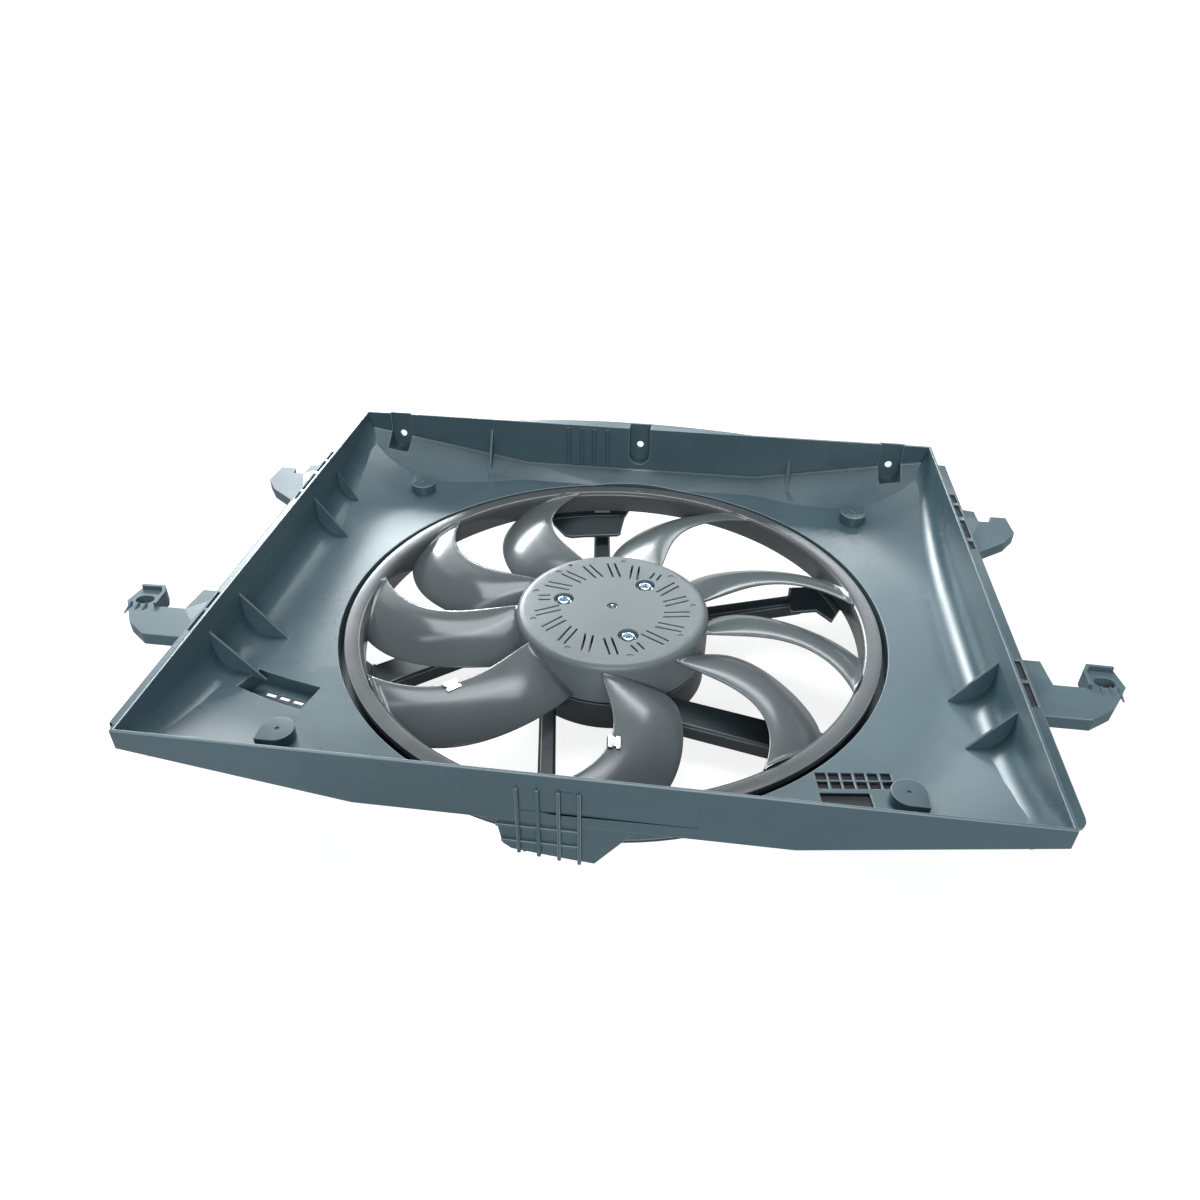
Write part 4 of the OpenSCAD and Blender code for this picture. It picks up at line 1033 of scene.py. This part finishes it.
def add_floor(scene):
    """A wide pale floor that takes a soft shadow and shows white to the camera and in reflections."""
    bm = bmesh.new()
    bmesh.ops.create_grid(bm, x_segments=1, y_segments=1, size=40.0)
    mesh = bpy.data.meshes.new("floor")
    bm.to_mesh(mesh)
    bm.free()
    floor = bpy.data.objects.new("floor", mesh)
    scene.collection.objects.link(floor)
    material = bpy.data.materials.new("floor_white")
    material.use_nodes = True
    tree = material.node_tree
    tree.nodes.remove(tree.nodes["Principled BSDF"])
    output = tree.nodes["Material Output"]
    matte = add_node(tree, "ShaderNodeBsdfDiffuse", (-400, 0))
    matte.inputs["Color"].default_value = (FLOOR_GREY, FLOOR_GREY, FLOOR_GREY, 1.0)
    glow = add_node(tree, "ShaderNodeEmission", (-400, -200))
    rays = add_node(tree, "ShaderNodeLightPath", (-900, 200))
    spot = add_node(tree, "ShaderNodeNewGeometry", (-1300, -200))
    span = add_node(tree, "ShaderNodeVectorMath", (-1100, -200), operation="LENGTH")
    tree.links.new(spot.outputs["Position"], span.inputs[0])
    far = ramp(tree, (-900, -200), span.outputs["Value"], *FLOOR_FADE, FLOOR_NEAR_LIGHT, 1.0)
    seen = calc(tree, (-700, 0), "MULTIPLY", rays.outputs["Is Camera Ray"], far)
    mirrored = calc(tree, (-700, 200), "MULTIPLY", rays.outputs["Is Glossy Ray"], FLOOR_MIRRORED)
    tree.links.new(calc(tree, (-550, -200), "ADD", seen, mirrored), glow.inputs["Strength"])
    both = add_node(tree, "ShaderNodeAddShader", (-150, 0))
    tree.links.new(matte.outputs[0], both.inputs[0])
    tree.links.new(glow.outputs[0], both.inputs[1])
    tree.links.new(both.outputs[0], output.inputs["Surface"])
    mesh.materials.append(material)


def add_lights(scene):
    """The world, which shows white to the camera, and the lamps."""
    world = bpy.data.worlds.new("studio")
    scene.world = world
    world.use_nodes = True
    tree = world.node_tree
    back = tree.nodes["Background"]
    rays = add_node(tree, "ShaderNodeLightPath", (-600, 0))
    fill = ramp(tree, (-300, 0), rays.outputs["Is Camera Ray"], 0.0, 1.0, WORLD_FILL, 1.0)
    back.inputs["Color"].default_value = (1.0, 1.0, 1.0, 1.0)
    tree.links.new(fill, back.inputs["Strength"])
    for name, place, aim, width, height, power, colour in LAMPS:
        data = bpy.data.lights.new(name, "AREA")
        data.shape = "RECTANGLE"
        data.size = width
        data.size_y = height
        data.energy = power
        data.color = colour
        lamp = bpy.data.objects.new(name, data)
        lamp.location = place
        lamp.rotation_euler = (Vector(aim) - Vector(place)).to_track_quat("-Z", "Y").to_euler()
        scene.collection.objects.link(lamp)


def add_camera(scene):
    """The camera at the photograph's place, angle and focal length."""
    data = bpy.data.cameras.new("photo_camera")
    data.sensor_fit = "HORIZONTAL"
    data.sensor_width = 36.0
    data.lens = CAMERA_FOCAL_PX / PHOTO_PX * data.sensor_width
    data.shift_x = (PHOTO_PX / 2 - CAMERA_CENTRE_PX[0]) / PHOTO_PX
    data.shift_y = (CAMERA_CENTRE_PX[1] - PHOTO_PX / 2) / PHOTO_PX
    data.clip_start = 0.01
    camera = bpy.data.objects.new("photo_camera", data)
    camera.location = CAMERA_PLACE
    camera.rotation_euler = [math.radians(a) for a in CAMERA_TURN]
    scene.collection.objects.link(camera)
    scene.camera = camera


STEPS = ("tray", "coves", "seals", "carrier", "blades", "ring", "hub", "clips", "screws", "shaft",
         "metalwork", "electronics", "stage")


class COOLINGFAN_PT_panel(Panel):
    """Buttons that build each group of pieces, with their sizes and colours"""

    bl_label = "Cooling Fan"
    bl_idname = "COOLINGFAN_PT_panel"
    bl_space_type = "VIEW_3D"
    bl_region_type = "UI"
    bl_category = "Cooling Fan"

    def draw(self, context):
        for step in STEPS:
            self.layout.operator("coolingfan." + step)
        for group in (context.scene.cooling_fan_sizes, context.scene.cooling_fan_finish):
            box = self.layout.box()
            for key in group.__annotations__:
                box.prop(group, key)


CLASSES = (FanSizes, FanFinish, COOLINGFAN_OT_tray, COOLINGFAN_OT_coves, COOLINGFAN_OT_shade_sheets,
           COOLINGFAN_OT_carrier, COOLINGFAN_OT_blades, COOLINGFAN_OT_ring, COOLINGFAN_OT_hub,
           COOLINGFAN_OT_clips, COOLINGFAN_OT_screws, COOLINGFAN_OT_shaft, COOLINGFAN_OT_metalwork,
           COOLINGFAN_OT_electronics, COOLINGFAN_OT_stage, COOLINGFAN_PT_panel)


def register():
    for cls in CLASSES:
        bpy.utils.register_class(cls)
    bpy.types.Scene.cooling_fan_sizes = PointerProperty(type=FanSizes)
    bpy.types.Scene.cooling_fan_finish = PointerProperty(type=FanFinish)


def unregister():
    del bpy.types.Scene.cooling_fan_sizes
    del bpy.types.Scene.cooling_fan_finish
    for cls in reversed(CLASSES):
        bpy.utils.unregister_class(cls)


def main():
    register()
    for step in STEPS:
        getattr(bpy.ops.coolingfan, step)()


if __name__ == "__main__":
    main()
